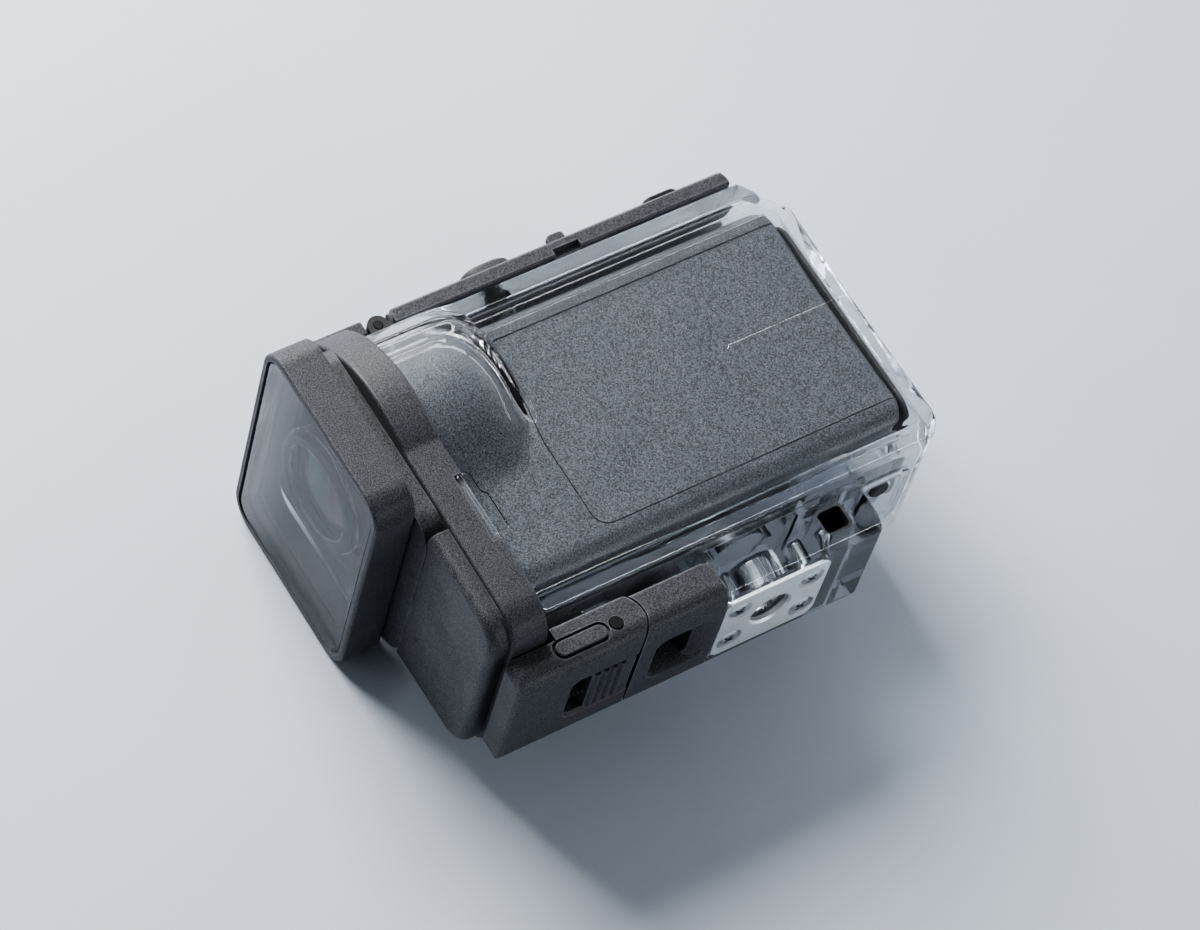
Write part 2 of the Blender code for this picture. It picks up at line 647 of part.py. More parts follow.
def buckle():
    body = base_slab("buckle", BUCKLE_FRONT, BUCKLE_PIN_Y + BUCKLE_END_R + 1, BUCKLE_TOP)
    body = keep_common(body, prism("buckle_keep", buckle_side_outline(), "x", -20, 20))
    body = cut(body, rod("pin_hole", "x", BUCKLE_PIVOT, 1.25, -20, 20, 16))
    for sign in (-1, 1):
        inner, outer = sorted((sign * 6.2, sign * 9.8))
        body = cut(body, box("lug_room", inner, outer, 26.8, 40, -30.3, -20))
    slot = rounded_rect(-5.7, 5.7, 21.2, 40.0, 1.2, 3)
    body = cut(body, prism("slider_room", slot, "z", -33, SLIDER_TOP + GAP))
    for sign in (-1, 1):
        inner, outer = sorted((sign * 11.7, sign * 14))
        seat = rounded_rect(18.2, 28.4, -29.2, -25.8, 1.65, 5)
        body = cut(body, prism("insert_room", seat, "x", inner, outer))
    finish(body, "graphite", BUCKLE_PIVOT)
    finish(rod("buckle_pin", "x", BUCKLE_PIVOT, 1.1, -12.7, 12.7, 20), "steel")
    for name, sign in (("buckle_insert_left", 1), ("buckle_insert_right", -1)):
        inner, outer = sorted((sign * 12.0, sign * 12.75))
        pad = rounded_rect(18.6, 28.0, -28.8, -26.2, 1.29, 5)
        finish(prism(name, pad, "x", inner, outer, bevel=0.25), "graphite", BUCKLE_PIVOT)


def lock_slider():
    """Ribbed slider in the buckle's underside, pushed back by a small spring."""
    ribs, pitch = 4, 1.6
    base_z = SLIDER_BOTTOM + 0.4
    outline = [(SLIDER_FRONT, SLIDER_TOP), (SLIDER_FRONT, base_z)]
    for i in range(ribs):
        y = SLIDER_FRONT + 0.5 + i * pitch
        outline += [(y, base_z), (y + 0.3, SLIDER_BOTTOM), (y + 0.8, SLIDER_BOTTOM),
                    (y + 1.1, base_z)]
    outline += [(SLIDER_REAR, base_z), (SLIDER_REAR, SLIDER_TOP)]
    slider = prism("lock_slider", outline, "x", -5.3, 5.3)
    finish(slider, "graphite", SLIDER_PIVOT)
    spring = coil("lock_spring", "y", (0, 0, -29.9), 0.8, 0.18, 21.3, SLIDER_FRONT - 0.1, 4)
    finish(spring, "steel", SLIDER_PIVOT)


def latch_block():
    block = base_slab("latch_block", LATCH_FRONT, LATCH_REAR, LATCH_TOP)
    side = [(LATCH_FRONT - 1, -40), (LATCH_REAR + 1, -40), (LATCH_REAR + 1, -36), (LATCH_REAR, -36)]
    side += arc(LATCH_REAR - LATCH_CORNER_R, LATCH_TOP - LATCH_CORNER_R, LATCH_CORNER_R, 0, 90, 5)
    side += [(LATCH_FRONT - 1, LATCH_TOP)]
    block = keep_common(block, prism("latch_keep", side, "x", -20, 20))
    block = cut(block, rod("buckle_sweep", "x", BUCKLE_PIVOT, BUCKLE_SWEEP_R, -20, 20, 48))
    pocket = rounded_rect(-5.3, 5.3, 37.6, 46.4, 1.2, 3)
    block = cut(block, prism("latch_pocket", pocket, "z", -33, -25.6))
    finish(block, "graphite")


def base_block():
    block = base_slab("base_block", LATCH_REAR + GAP, BLOCK_REAR, SHELL_BOTTOM - GAP)
    seat = rounded_rect(-PLATE_HALF_W - GAP, PLATE_HALF_W + GAP, 45, PLATE_REAR + GAP, 2.3, 3)
    block = cut(block, prism("plate_seat", seat, "z", -33, -29.9))
    block = cut(block, rod("socket_room", "z", (0, SOCKET_Y, 0), 5.0, -32, -24.0, 32))
    for x, y in screw_places():
        block = cut(block, rod("screw_hole", "z", (x, y, 0), 1.3, -32, -25.0, 16))
    strap = rounded_rect(69.9, 75.6, -29.0, -23.8, 1.2, 3)
    block = cut(block, prism("strap_slot", strap, "x", -20, 20))
    finish(block, "clear")


def screw_places():
    return [(sx * SCREW_X, SOCKET_Y + sy * SCREW_DY) for sx in (-1, 1) for sy in (-1, 1)]


def tripod_plate():
    outline = rounded_rect(-PLATE_HALF_W, PLATE_HALF_W, LATCH_REAR + GAP, PLATE_REAR, 2.0, 4)
    plate = prism("tripod_plate", outline, "z", -31.4, -30.2)
    plate = cut(plate, rod("socket_hole", "z", (0, SOCKET_Y, 0), 3.7, -33, -29, 24))
    for x, y in screw_places():
        plate = cut(plate, rod("screw_hole", "z", (x, y, 0), 2.45, -33, -29, 16))
    finish(plate, "plate_metal")


def tripod_socket():
    """Threaded insert with a flange, open below, with a domed blind end."""
    dome = [(SOCKET_R * math.cos(math.radians(a)), -26.2 + 1.0 * math.sin(math.radians(a)))
            for a in (30, 60, 90)]
    dome[-1] = (0, -25.2)
    profile = [(0, -24.3), (3.9, -24.3), (3.9, -29.0), (4.7, -29.0), (4.7, -29.9),
               (SOCKET_R, -29.9), (SOCKET_R, -26.2)] + dome
    finish(turned("tripod_socket", profile, "z", (0, SOCKET_Y, 0), 24), "steel")


def plate_screws():
    """Cross-recessed screws that hold the tripod plate."""
    for i, (x, y) in enumerate(screw_places()):
        name = f"plate_screw_{i + 1}"
        head = turned(name, [(0, -25.3), (1.0, -25.3), (1.0, -30.3), (2.1, -30.3), (2.15, -30.9),
                             (1.6, -31.35), (0, -31.45)], "z", (x, y, 0), 16)
        for dx, dy in ((1.1, 0.22), (0.22, 1.1)):
            slot = box("cross", x - dx, x + dx, y - dy, y + dy, -32.0, -30.75)
            head = cut(head, slot)
        finish(head, "steel")


# ---- right-hand control panel ----

def control_panel():
    outline = rounded_rect(PANEL_FRONT, PANEL_REAR, PANEL_BOTTOM, PANEL_TOP, 5.0, 5)
    panel = prism("control_panel", outline, "x", -HOOD_HALF_W, -SHELL_HALF_W - GAP)
    window = rounded_rect(58.0, 83.0, 4.0, 23.0, 3.0, 4)
    panel = cut(panel, prism("display_opening", window, "x", -30, -10))
    for y in SIDE_BUTTONS.values():
        centre = (0, y, SIDE_BUTTON_Z)
        panel = cut(panel, rod("cap_room", "x", centre, SIDE_BUTTON_R + 0.3, -30, -19.8, 28))
        panel = cut(panel, rod("shaft_room", "x", centre, SIDE_SHAFT_R + GAP, -22, -10, 16))
    finish(panel, "graphite")


def side_buttons():
    for name, y in SIDE_BUTTONS.items():
        profile = [(0, -14.0), (SIDE_SHAFT_R, -14.0), (SIDE_SHAFT_R, -22.6), (SIDE_BUTTON_R, -22.6),
                   (SIDE_BUTTON_R, -24.2), (SIDE_BUTTON_R - 0.5, -24.7), (0, -24.7)]
        pivot = (-24.7, y, SIDE_BUTTON_Z)
        finish(turned(name, profile, "x", (0, y, SIDE_BUTTON_Z), 28), "graphite", pivot)
        spring = coil(name + "_spring", "x", (0, y, SIDE_BUTTON_Z), 2.3, 0.25, -22.4, -20.0, 3)
        finish(spring, "steel", pivot)


# ---- camera inside ----

def camera_solid(name, inset, front, rear):
    """The camera's outer form, or its inner room when inset."""
    d = inset
    section = rounded_rect(-CAM_HALF_W + d, CAM_HALF_W - d, CAM_BOTTOM + d, CAM_TOP - d, 3.0, 4)
    body = prism(name, section, "y", front, rear)
    corner = CAM_CORNER_R - d
    side = [(front - 1, CAM_BOTTOM + d)]
    side += arc(rear - corner, CAM_BOTTOM + d + corner, corner, -90, 0, 4)
    side += arc(rear - corner, CAM_TOP - d - corner, corner, 0, 90, 4)
    side += [(front - 1, CAM_TOP - d)]
    body = keep_common(body, prism("camera_side_keep", side, "x", -40, 40))
    swell_top = CAM_TOP - d - 0.2
    swell = bulge("camera_bulge", CAM_BULGE_R - d, front, BULGE_END - 2.6 - d, swell_top)
    return join(body, swell)


def camera_cases():
    """Two moulded halves that meet on the camera's middle plane."""
    for name, side in (("camera_case_left", 1), ("camera_case_right", -1)):
        case = camera_solid(name, 0.0, CAM_FRONT, CAM_REAR)
        room = camera_solid("case_room", CAM_WALL, CAM_FRONT + CAM_WALL, CAM_REAR - CAM_WALL)
        case = cut(case, room)
        low, high = sorted((side * 0.15, side * 40))
        case = keep_common(case, box("half_keep", low, high, 0, 120, -60, 60))
        case = cut(case, rod("lens_hole", "y", (0, 0, LENS_Z), BARREL_R + 0.3, 5, 17, 48))
        case = cut(case, box("door_room", -DOOR_HALF_W - GAP, DOOR_HALF_W + GAP, 93.2, 100,
                              DOOR_BOTTOM - GAP, DOOR_TOP + GAP))
        case = cut(case, rod("nut_room", "z", (0, 44.0, 0), 4.3, -20, -13, 24))
        if side > 0:
            case = cut(case, rod("button_room", "z", (REC_X, REC_Y, 0), 3.9, 28, 33, 24))
            panel = rounded_rect(36.5, 93.1, -11.6, 26.6, 3.0, 4)
            case = cut(case, prism("panel_room", panel, "x", CAM_HALF_W - 0.7, 30))
        else:
            opening = rounded_rect(59.0, 82.0, 5.0, 22.0, 1.5, 3)
            case = cut(case, prism("display_room", opening, "x", -30, -10.0))
        case.name = name
        finish(case, "camera_body")


def camera_covers():
    panel = rounded_rect(36.7, 92.9, -11.4, 26.4, 2.8, 4)
    finish(prism("camera_side_panel", panel, "x", CAM_HALF_W - 0.45, CAM_HALF_W + 0.05),
           "camera_body")
    finish(box("camera_rear_door", -DOOR_HALF_W, DOOR_HALF_W, 93.8, CAM_REAR, DOOR_BOTTOM,
               DOOR_TOP, 0.3, 1), "camera_body")
    window = rounded_rect(59.2, 81.8, 5.2, 21.8, 1.3, 3)
    finish(prism("lcd_window", window, "x", -12.3, -11.2), "glass")
    cap = turned("camera_rec_button", [(0, 32.2), (3.1, 32.2), (3.6, 31.8), (3.6, 30.3), (0, 30.3)],
                 "z", (REC_X, REC_Y, 0), 24)
    finish(cap, "graphite", (REC_X, REC_Y, 32.2))


def optics():
    centre = (0, 0, LENS_Z)
    barrel = [(9.2, 17.0), (BARREL_R, 17.0), (BARREL_R, 5.2), (9.2, 5.2)]
    finish(turned("lens_barrel", barrel, "y", centre, 36), "lens_black")
    ring = [(8.4, 4.9), (BARREL_R, 4.9), (BARREL_R - 0.5, 4.2), (8.8, 4.2)]
    finish(turned("lens_ring", ring, "y", centre, 36), "lens_black")
    dome = [(8.2 * math.sin(math.radians(a)), 5.0 + 3.2 * (1 - math.cos(math.radians(a))))
            for a in (0, 25, 50, 75, 90)]
    front = [(0, 9.4), (8.2, 9.4)] + list(reversed(dome))
    finish(turned("front_lens", front, "y", centre, 28), "lens_glass")
    rear = [(0, 16.0), (7.0, 16.0), (7.0, 10.4), (0, 10.4)]
    finish(turned("rear_lens_group", rear, "y", centre, 24), "lens_glass")
    finish(box("image_sensor", -4.6, 4.6, 17.6, 18.8, LENS_Z - 3.6, LENS_Z + 3.6), "display")
    finish(box("sensor_board", -8.5, 8.5, 19.2, 20.2, LENS_Z - 7, LENS_Z + 7), "circuit_board")


def electronics():
    finish(box("main_board", -6.6, -5.6, 24.0, 90.0, -12.5, 27.5), "circuit_board")
    finish(box("battery", -4.6, 9.6, 42.0, 90.0, -10.5, 10.5, 1.0), "battery_wrap")
    finish(box("memory_card", -4.6, -3.6, 26.0, 37.0, -12.0, 3.0), "lens_black")
    finish(box("lcd_module", -10.4, -8.0, 57.5, 83.5, 3.5, 23.5), "display")
    speaker = [(0, -3.5), (4.5, -3.5), (4.5, -6.0), (0, -6.0)]
    finish(turned("speaker", [(r, 10.2 + 3.5 + h) for r, h in speaker], "x", (0, 30.0, -6.0), 24),
           "lens_black")
    finish(rod("microphone", "y", (6.0, 0, -8.0), 1.8, 16.0, 17.2, 20), "lens_black")
    nut = [(SOCKET_R, -11.5), (4.0, -11.5), (4.0, -16.3), (SOCKET_R, -16.3)]
    finish(turned("camera_tripod_nut", nut, "z", (0, 44.0, 0), 24), "steel")
    finish(box("rear_cushion", -11.5, 11.5, CAM_REAR + GAP, CAVITY_REAR - GAP, -14.5, 26.0), "foam")


housing_shell()
pressure_plug()
top_cover()
tally_window()
status_fin()
rec_button()
hinge()
lid_frame()
lid_clips()
window_hood()
window_glass()
main_gasket()
buckle()
lock_slider()
latch_block()
base_block()
tripod_plate()
tripod_socket()
plate_screws()
control_panel()
side_buttons()
camera_cases()
camera_covers()
optics()
electronics()
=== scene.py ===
"""Looks of the action camera in its clear underwater housing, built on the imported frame.

Shapes are designed upright in millimetres, as the housing stands on its base: x is the camera's
own left, y runs back from the window and z is up, with z = 0 at the hood's lower edge. TO_ROW
lays them in the frame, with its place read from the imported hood.
"""

import json
import math

import bmesh
import bpy
import numpy as np
from mathutils import Matrix, Vector


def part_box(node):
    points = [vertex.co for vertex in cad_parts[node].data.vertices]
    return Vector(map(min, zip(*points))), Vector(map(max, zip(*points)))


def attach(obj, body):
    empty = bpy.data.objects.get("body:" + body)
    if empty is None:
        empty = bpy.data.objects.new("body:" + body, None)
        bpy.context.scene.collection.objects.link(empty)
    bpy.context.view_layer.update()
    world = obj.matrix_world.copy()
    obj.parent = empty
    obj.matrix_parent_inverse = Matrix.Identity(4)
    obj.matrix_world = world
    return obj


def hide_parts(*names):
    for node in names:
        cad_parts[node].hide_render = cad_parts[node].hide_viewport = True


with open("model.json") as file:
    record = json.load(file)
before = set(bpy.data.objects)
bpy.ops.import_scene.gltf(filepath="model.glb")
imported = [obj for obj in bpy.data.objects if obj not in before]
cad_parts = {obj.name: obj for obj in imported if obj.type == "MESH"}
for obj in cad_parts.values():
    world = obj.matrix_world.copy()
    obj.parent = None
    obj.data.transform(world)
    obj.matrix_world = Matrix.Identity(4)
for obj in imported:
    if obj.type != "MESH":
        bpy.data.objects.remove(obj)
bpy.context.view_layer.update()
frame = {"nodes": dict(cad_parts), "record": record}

MM = 0.001
HOOD_LOW, HOOD_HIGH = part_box("window_hood")
TO_ROW = (Matrix.Translation((HOOD_HIGH.x, HOOD_LOW.y, (HOOD_LOW.z + HOOD_HIGH.z) / 2))
          @ Matrix(((0, 0, -1, 0), (0, 1, 0, 0), (1, 0, 0, 0), (0, 0, 0, 1)))
          @ Matrix.Scale(MM, 4))

# Hood and lens
HOOD_HALF_W = 25.2
HOOD_H = 35.9
HOOD_DEPTH = 7.5
HOOD_R = 5.0
RIM = 1.2
LENS_Z = 19.9
BARREL_R = 10.8
# Lid
LID_FRONT = 8.0
BAND_FRONT, BAND_REAR = 11.5, 18.2
BAND_R = 23.0
LID_HALF_W = 20.9
LID_TAPER = 1.1
LID_BOTTOM = -25.3
LID_CORNER_R = 6.5
TOP_Z = 38.9
HINGE = (0, 23.2, 37.0)
KNUCKLE_R = 1.85
# Clear shell
SHELL_HALF_W = 15.4
SHELL_FRONT, SHELL_REAR = 14.6, 97.9
SHELL_BOTTOM, SHELL_TOP = -22.0, 35.8
SIDE_RIB_FRONT, SIDE_RIB_Z = 73.5, 7.2
SHOULDER_Z = 27.8
DECK_HALF_W = 13.6
DECK_RIBS = ((28.7, 30.5), (30.9, 32.7))
BULGE_R, BULGE_END = 21.3, 37.5
BULGE_ROUND = 9.0
BULGE_BLEND = 3.6
CAVITY_TOP, CAVITY_REAR = 33.3, 96.1
CAVITY_SLOPE_START = 92.3
CAVITY_WALL = 2.2
REAR_WALL_Y = 46.2  # in the frame, not in the upright drawing
CAMERA_WALL = 2.8
REAR_R = 5.0
REAR_CORNER_Z = 26.8
REAR_SLOPE, REAR_SLOPE_START = 1.536, 92.8
# Camera inside
CAM_HALF_W = 12.4
CAM_FRONT, CAM_REAR = 14.0, 95.0
CAM_BOTTOM, CAM_TOP = -16.5, 31.0
CAM_WALL = 1.5
CAM_CORNER_R = 4.5
CAM_END_R = 2.2
# Cover and shutter button
COVER_FRONT, COVER_REAR = 26.0, 91.8
COVER_BOTTOM = 36.1
COVER_CROWN = 2.4
REC = (4.5, 46.8, 0)
# Base
BASE_HALF_W = 12.5
BASE_BOTTOM = -31.2
BASE_EDGE_R = 2.9
BUCKLE_FRONT, BUCKLE_TOP = 9.8, -23.4
BUCKLE_PIN = (0, 30.0, -27.3)
BUCKLE_END_R = 5.1
BUCKLE_SWEEP_R = 5.4
SLIDER_FRONT, SLIDER_REAR = 24.8, 33.2
SLIDER_TOP, SLIDER_BOTTOM = -28.8, -31.5
LATCH_FRONT, LATCH_REAR = 33.5, 49.6
LATCH_TOP = -23.9
LATCH_CORNER_R = 2.3
BLOCK_REAR = 80.0
SOCKET_Y = 60.1
SCREW_X, SCREW_DY = 4.6, 7.1
SIDE_BUTTON_YS = (50.0, 62.0, 74.0)
SIDE_BUTTON_Z = -5.0

HANDS = (("left", 1), ("right", -1))


# ---- outlines ----

def arc(cu, cv, radius, start, end, steps=10):
    angles = [math.radians(start + (end - start) * i / steps) for i in range(steps + 1)]
    return [(cu + radius * math.cos(a), cv + radius * math.sin(a)) for a in angles]


def rounded_rect(u0, u1, v0, v1, r, steps=8):
    return (arc(u1 - r, v0 + r, r, -90, 0, steps) + arc(u1 - r, v1 - r, r, 0, 90, steps)
            + arc(u0 + r, v1 - r, r, 90, 180, steps) + arc(u0 + r, v0 + r, r, 180, 270, steps))


def circle(cu, cv, radius, steps=48):
    return arc(cu, cv, radius, 0, 360 - 360 / steps, steps - 1)


def superellipse(cu, cv, half_u, half_v, power=3.0, steps=72):
    points = []
    for i in range(steps):
        a = 2 * math.pi * i / steps
        c, s = math.cos(a), math.sin(a)
        points.append((cu + half_u * math.copysign(abs(c) ** (2 / power), c),
                       cv + half_v * math.copysign(abs(s) ** (2 / power), s)))
    return points


def mirrored(right_half):
    return right_half + [(-u, v) for u, v in reversed(right_half)]


def lid_outline(inset=0.0, steps=40):
    """The lid seen from the front: round about the lens, narrower and straight below."""
    radius = BAND_R - inset
    corner = LID_CORNER_R - inset
    low_w = LID_HALF_W - LID_TAPER - inset
    meet = math.degrees(math.acos((LID_HALF_W - inset) / radius))
    end = math.degrees(math.asin(min(1.0, (TOP_Z - inset - LENS_Z) / radius)))
    right = arc(low_w - corner, LID_BOTTOM + inset + corner, corner, -90, 0, 12)
    right += arc(0, LENS_Z, radius, -meet, end, steps)
    return mirrored(right)


# ---- solids, upright and in millimetres ----

AXES = {
    "x": Matrix(((0, 0, 1), (1, 0, 0), (0, 1, 0))).to_4x4(),
    "y": Matrix(((1, 0, 0), (0, 0, -1), (0, 1, 0))).to_4x4(),
    "z": Matrix.Identity(4),
}


def from_bmesh(name, bm):
    mesh = bpy.data.meshes.new(name)
    bmesh.ops.recalc_face_normals(bm, faces=bm.faces)
    bm.to_mesh(mesh)
    bm.free()
    obj = bpy.data.objects.new(name, mesh)
    bpy.context.scene.collection.objects.link(obj)
    return obj


def bevel_edges(bm, width, segments, angle=40):
    sharp = [e for e in bm.edges
             if len(e.link_faces) == 2 and e.calc_face_angle(0) > math.radians(angle)]
    bmesh.ops.bevel(bm, geom=sharp, offset=width, offset_type="OFFSET", segments=segments,
                    profile=0.5, affect="EDGES", clamp_overlap=True)


def prism(name, outline, axis, low, high, bevel=0.0, segments=4, top=None):
    """An outline extruded along an axis: (y, z) along x, (x, z) along y, (x, y) along z.

    With top, a second outline of as many points, the sides slope from one to the other.
    """
    sign = -1.0 if axis == "y" else 1.0
    turn = AXES[axis]
    bm = bmesh.new()
    ends = []
    for points, height in ((outline, low), (top or outline, high)):
        ends.append([bm.verts.new(turn @ Vector((u, v, sign * height))) for u, v in points])
    bm.faces.new(ends[0])
    bm.faces.new(list(reversed(ends[1])))
    count = len(outline)
    for i in range(count):
        j = (i + 1) % count
        bm.faces.new((ends[0][i], ends[1][i], ends[1][j], ends[0][j]))
    bmesh.ops.recalc_face_normals(bm, faces=bm.faces)
    if bevel:
        bevel_edges(bm, bevel, segments)
    return from_bmesh(name, bm)


def box(name, x0, x1, y0, y1, z0, z1, bevel=0.0, segments=4):
    return prism(name, [(x0, y0), (x1, y0), (x1, y1), (x0, y1)], "z", z0, z1, bevel, segments)


def turned(name, profile, axis, centre, steps=64):
    """A profile of (radius, height) points turned about an axis; closed on itself off the axis."""
    turn = {"x": Matrix.Rotation(math.radians(90), 4, "Y"),
            "y": Matrix.Rotation(math.radians(-90), 4, "X"),
            "z": Matrix.Identity(4)}[axis]
    place = Matrix.Translation(centre) @ turn
    bm = bmesh.new()
    rings = []
    for r, h in profile:
        angles = [2 * math.pi * i / steps for i in range(steps)] if r else [0.0]
        rings.append([bm.verts.new(place @ Vector((r * math.cos(a), r * math.sin(a), h)))
                      for a in angles])
    pairs = list(zip(rings, rings[1:]))
    if profile[0][0]:
        pairs.append((rings[-1], rings[0]))
    for a, b in pairs:
        for i in range(steps):
            j = (i + 1) % steps
            corners = [a[i % len(a)], a[j % len(a)], b[j % len(b)], b[i % len(b)]]
            corners = list(dict.fromkeys(corners))
            if len(corners) > 2:
                bm.faces.new(corners)
    return from_bmesh(name, bm)


def rod(name, axis, centre, radius, low, high, steps=48):
    return turned(name, [(0, high), (radius, high), (radius, low), (0, low)], axis, centre, steps)


def merged(name, objects):
    """Separate solids as one object, to cut with in one go."""
    bm = bmesh.new()
    for obj in objects:
        bm.from_mesh(obj.data)
        bpy.data.objects.remove(obj, do_unlink=True)
    mesh = bpy.data.meshes.new(name)
    bm.to_mesh(mesh)
    bm.free()
    obj = bpy.data.objects.new(name, mesh)
    bpy.context.scene.collection.objects.link(obj)
    return obj


def applied(obj):
    """The object with its modifiers applied."""
    graph = bpy.context.evaluated_depsgraph_get()
    graph.update()
    mesh = bpy.data.meshes.new_from_object(obj.evaluated_get(graph), depsgraph=graph)
    obj.modifiers.clear()
    obj.data = mesh
    return obj


def boolean(target, tool, operation):
    modifier = target.modifiers.new("boolean", "BOOLEAN")
    modifier.operation = operation
    modifier.object = tool
    modifier.solver = "EXACT"
    applied(target)
    bpy.data.objects.remove(tool, do_unlink=True)
    return target


def cut(target, *tools):
    return boolean(target, merged("cutter", tools) if len(tools) > 1 else tools[0], "DIFFERENCE")


def join(target, *tools):
    for tool in tools:
        boolean(target, tool, "UNION")
    return target


def keep_common(target, *tools):
    for tool in tools:
        boolean(target, tool, "INTERSECT")
    return target


def soften(obj, width, segments=3, angle=40):
    modifier = obj.modifiers.new("soft_edges", "BEVEL")
    modifier.width = width
    modifier.segments = segments
    modifier.limit_method = "ANGLE"
    modifier.angle_limit = math.radians(angle)
    modifier.use_clamp_overlap = True
    return applied(obj)


# ---- materials ----

def new_material(name):
    material = bpy.data.materials.new(name)
    material.use_nodes = True
    tree = material.node_tree
    return material, tree, tree.nodes["Principled BSDF"]


def node(tree, kind, **values):
    made = tree.nodes.new(kind)
    for key, value in values.items():
        setattr(made, key, value)
    return made


def link(output, socket):
    socket.id_data.links.new(output, socket)


def noise(tree, coords, scale, detail=2.0, roughness=0.5):
    made = node(tree, "ShaderNodeTexNoise")
    preset(made, Scale=scale, Detail=detail, Roughness=roughness)
    link(coords, made.inputs["Vector"])
    return made.outputs["Fac"]


def ranged(tree, value, from_low, from_high, to_low, to_high):
    made = node(tree, "ShaderNodeMapRange")
    for socket, number in zip(("From Min", "From Max", "To Min", "To Max"),
                              (from_low, from_high, to_low, to_high)):
        made.inputs[socket].default_value = number
    link(value, made.inputs["Value"])
    return made.outputs["Result"]


def mixed(tree, factor, a, b):
    """A colour mix; a and b are colours or sockets."""
    made = node(tree, "ShaderNodeMix", data_type="RGBA")
    link(factor, made.inputs["Factor"])
    for socket, value in ((made.inputs["A"], a), (made.inputs["B"], b)):
        target = [s for s in made.inputs if s.name == socket.name and s.type == "RGBA"][0]
        if isinstance(value, tuple):
            target.default_value = (*value, 1.0)
        else:
            link(value, target)
    return [s for s in made.outputs if s.type == "RGBA"][0]


def math_node(tree, operation, a, b):
    made = node(tree, "ShaderNodeMath", operation=operation)
    for socket, value in zip(made.inputs, (a, b)):
        if isinstance(value, (int, float)):
            socket.default_value = value
        else:
            link(value, socket)
    return made.outputs[0]


def preset(made, **values):
    """Sets a node's sockets; an underscore stands for a space."""
    for key, value in values.items():
        made.inputs[key.replace("_", " ")].default_value = value


def object_coords(tree):
    return node(tree, "ShaderNodeTexCoord").outputs["Object"]


def bumped(tree, shader, height, strength, distance):
    bump = node(tree, "ShaderNodeBump")
    preset(bump, Strength=strength, Distance=distance)
    link(height, bump.inputs["Height"])
    link(bump.outputs["Normal"], shader.inputs["Normal"])


def edge_wear_and_highlight(tree, radius):
    """1 on edges and 0 on flats: how far a rounded normal leans from the true one."""
    bevel = node(tree, "ShaderNodeBevel", samples=4)
    bevel.inputs["Radius"].default_value = radius
    true_normal = node(tree, "ShaderNodeNewGeometry").outputs["Normal"]
    dot = node(tree, "ShaderNodeVectorMath", operation="DOT_PRODUCT")
    link(bevel.outputs["Normal"], dot.inputs[0])
    link(true_normal, dot.inputs[1])
    return ranged(tree, dot.outputs["Value"], 0.995, 0.86, 0.0, 1.0)


def moulded(name, dark, light, roughness=(0.36, 0.5), speckle=0.35, wear_and_highlight=0.4, grain=0.12,
            fineness=3500):
    """Textured moulded plastic: fine mottle, small pale flecks, pale edges in patches that are partly wear
    and partly a painted highlight, and a grain.
    """
    material, tree, shader = new_material(name)
    coords = object_coords(tree)
    mottle = ranged(tree, noise(tree, coords, fineness, 2.0, 0.6), 0.37, 0.63, 0.0, 1.0)
    colour = mixed(tree, mottle, dark, light)
    flecks = node(tree, "ShaderNodeTexVoronoi")
    flecks.inputs["Scale"].default_value = 1.15 * fineness
    link(coords, flecks.inputs["Vector"])
    fleck = ranged(tree, flecks.outputs["Distance"], 0.12, 0.3, speckle, 0.0)
    scatter = ranged(tree, noise(tree, coords, 0.65 * fineness, 1.0, 0.5), 0.48, 0.58, 0.0, 1.0)
    pale = tuple(min(1.0, c * 3.2 + 0.06) for c in light)
    colour = mixed(tree, math_node(tree, "MULTIPLY", fleck, scatter), colour, pale)
    # Pale edges in patches: partly wear, partly a painted highlight along the edges.
    if wear_and_highlight:
        patches = ranged(tree, noise(tree, coords, 260, 3.0, 0.6), 0.35, 0.7, 0.2, 1.0)
        worn_and_highlit = math_node(tree, "MULTIPLY", edge_wear_and_highlight(tree, 0.0005), patches)
        colour = mixed(tree, math_node(tree, "MULTIPLY", worn_and_highlit, wear_and_highlight), colour, pale)
    link(colour, shader.inputs["Base Color"])
    broad = noise(tree, coords, 120, 3.0, 0.6)
    link(ranged(tree, broad, 0.3, 0.7, *roughness), shader.inputs["Roughness"])
    bumped(tree, shader, noise(tree, coords, 2600, 3.0, 0.65), grain, 0.0001)
    shader.inputs["Specular IOR Level"].default_value = 0.35
    return material


def lamp_clear(material, tree, shader):
    """Lets lamp light pass the clear plastic, so that what is inside is lit."""
    path = node(tree, "ShaderNodeLightPath")
    through = node(tree, "ShaderNodeBsdfTransparent")
    through.inputs["Color"].default_value = (0.93, 0.95, 0.96, 1.0)
    mix = node(tree, "ShaderNodeMixShader")
    output = [n for n in tree.nodes if n.type == "OUTPUT_MATERIAL"][0]
    link(path.outputs["Is Shadow Ray"], mix.inputs[0])
    link(shader.outputs[0], mix.inputs[1])
    link(through.outputs[0], mix.inputs[2])
    link(mix.outputs[0], output.inputs["Surface"])
    return material


def along(tree, axis, start, end, low, high):
    """A value that runs from low to high between two places along one axis of the row frame."""
    split = node(tree, "ShaderNodeSeparateXYZ")
    link(object_coords(tree), split.inputs[0])
    return ranged(tree, split.outputs[axis], start * MM, end * MM, low, high)


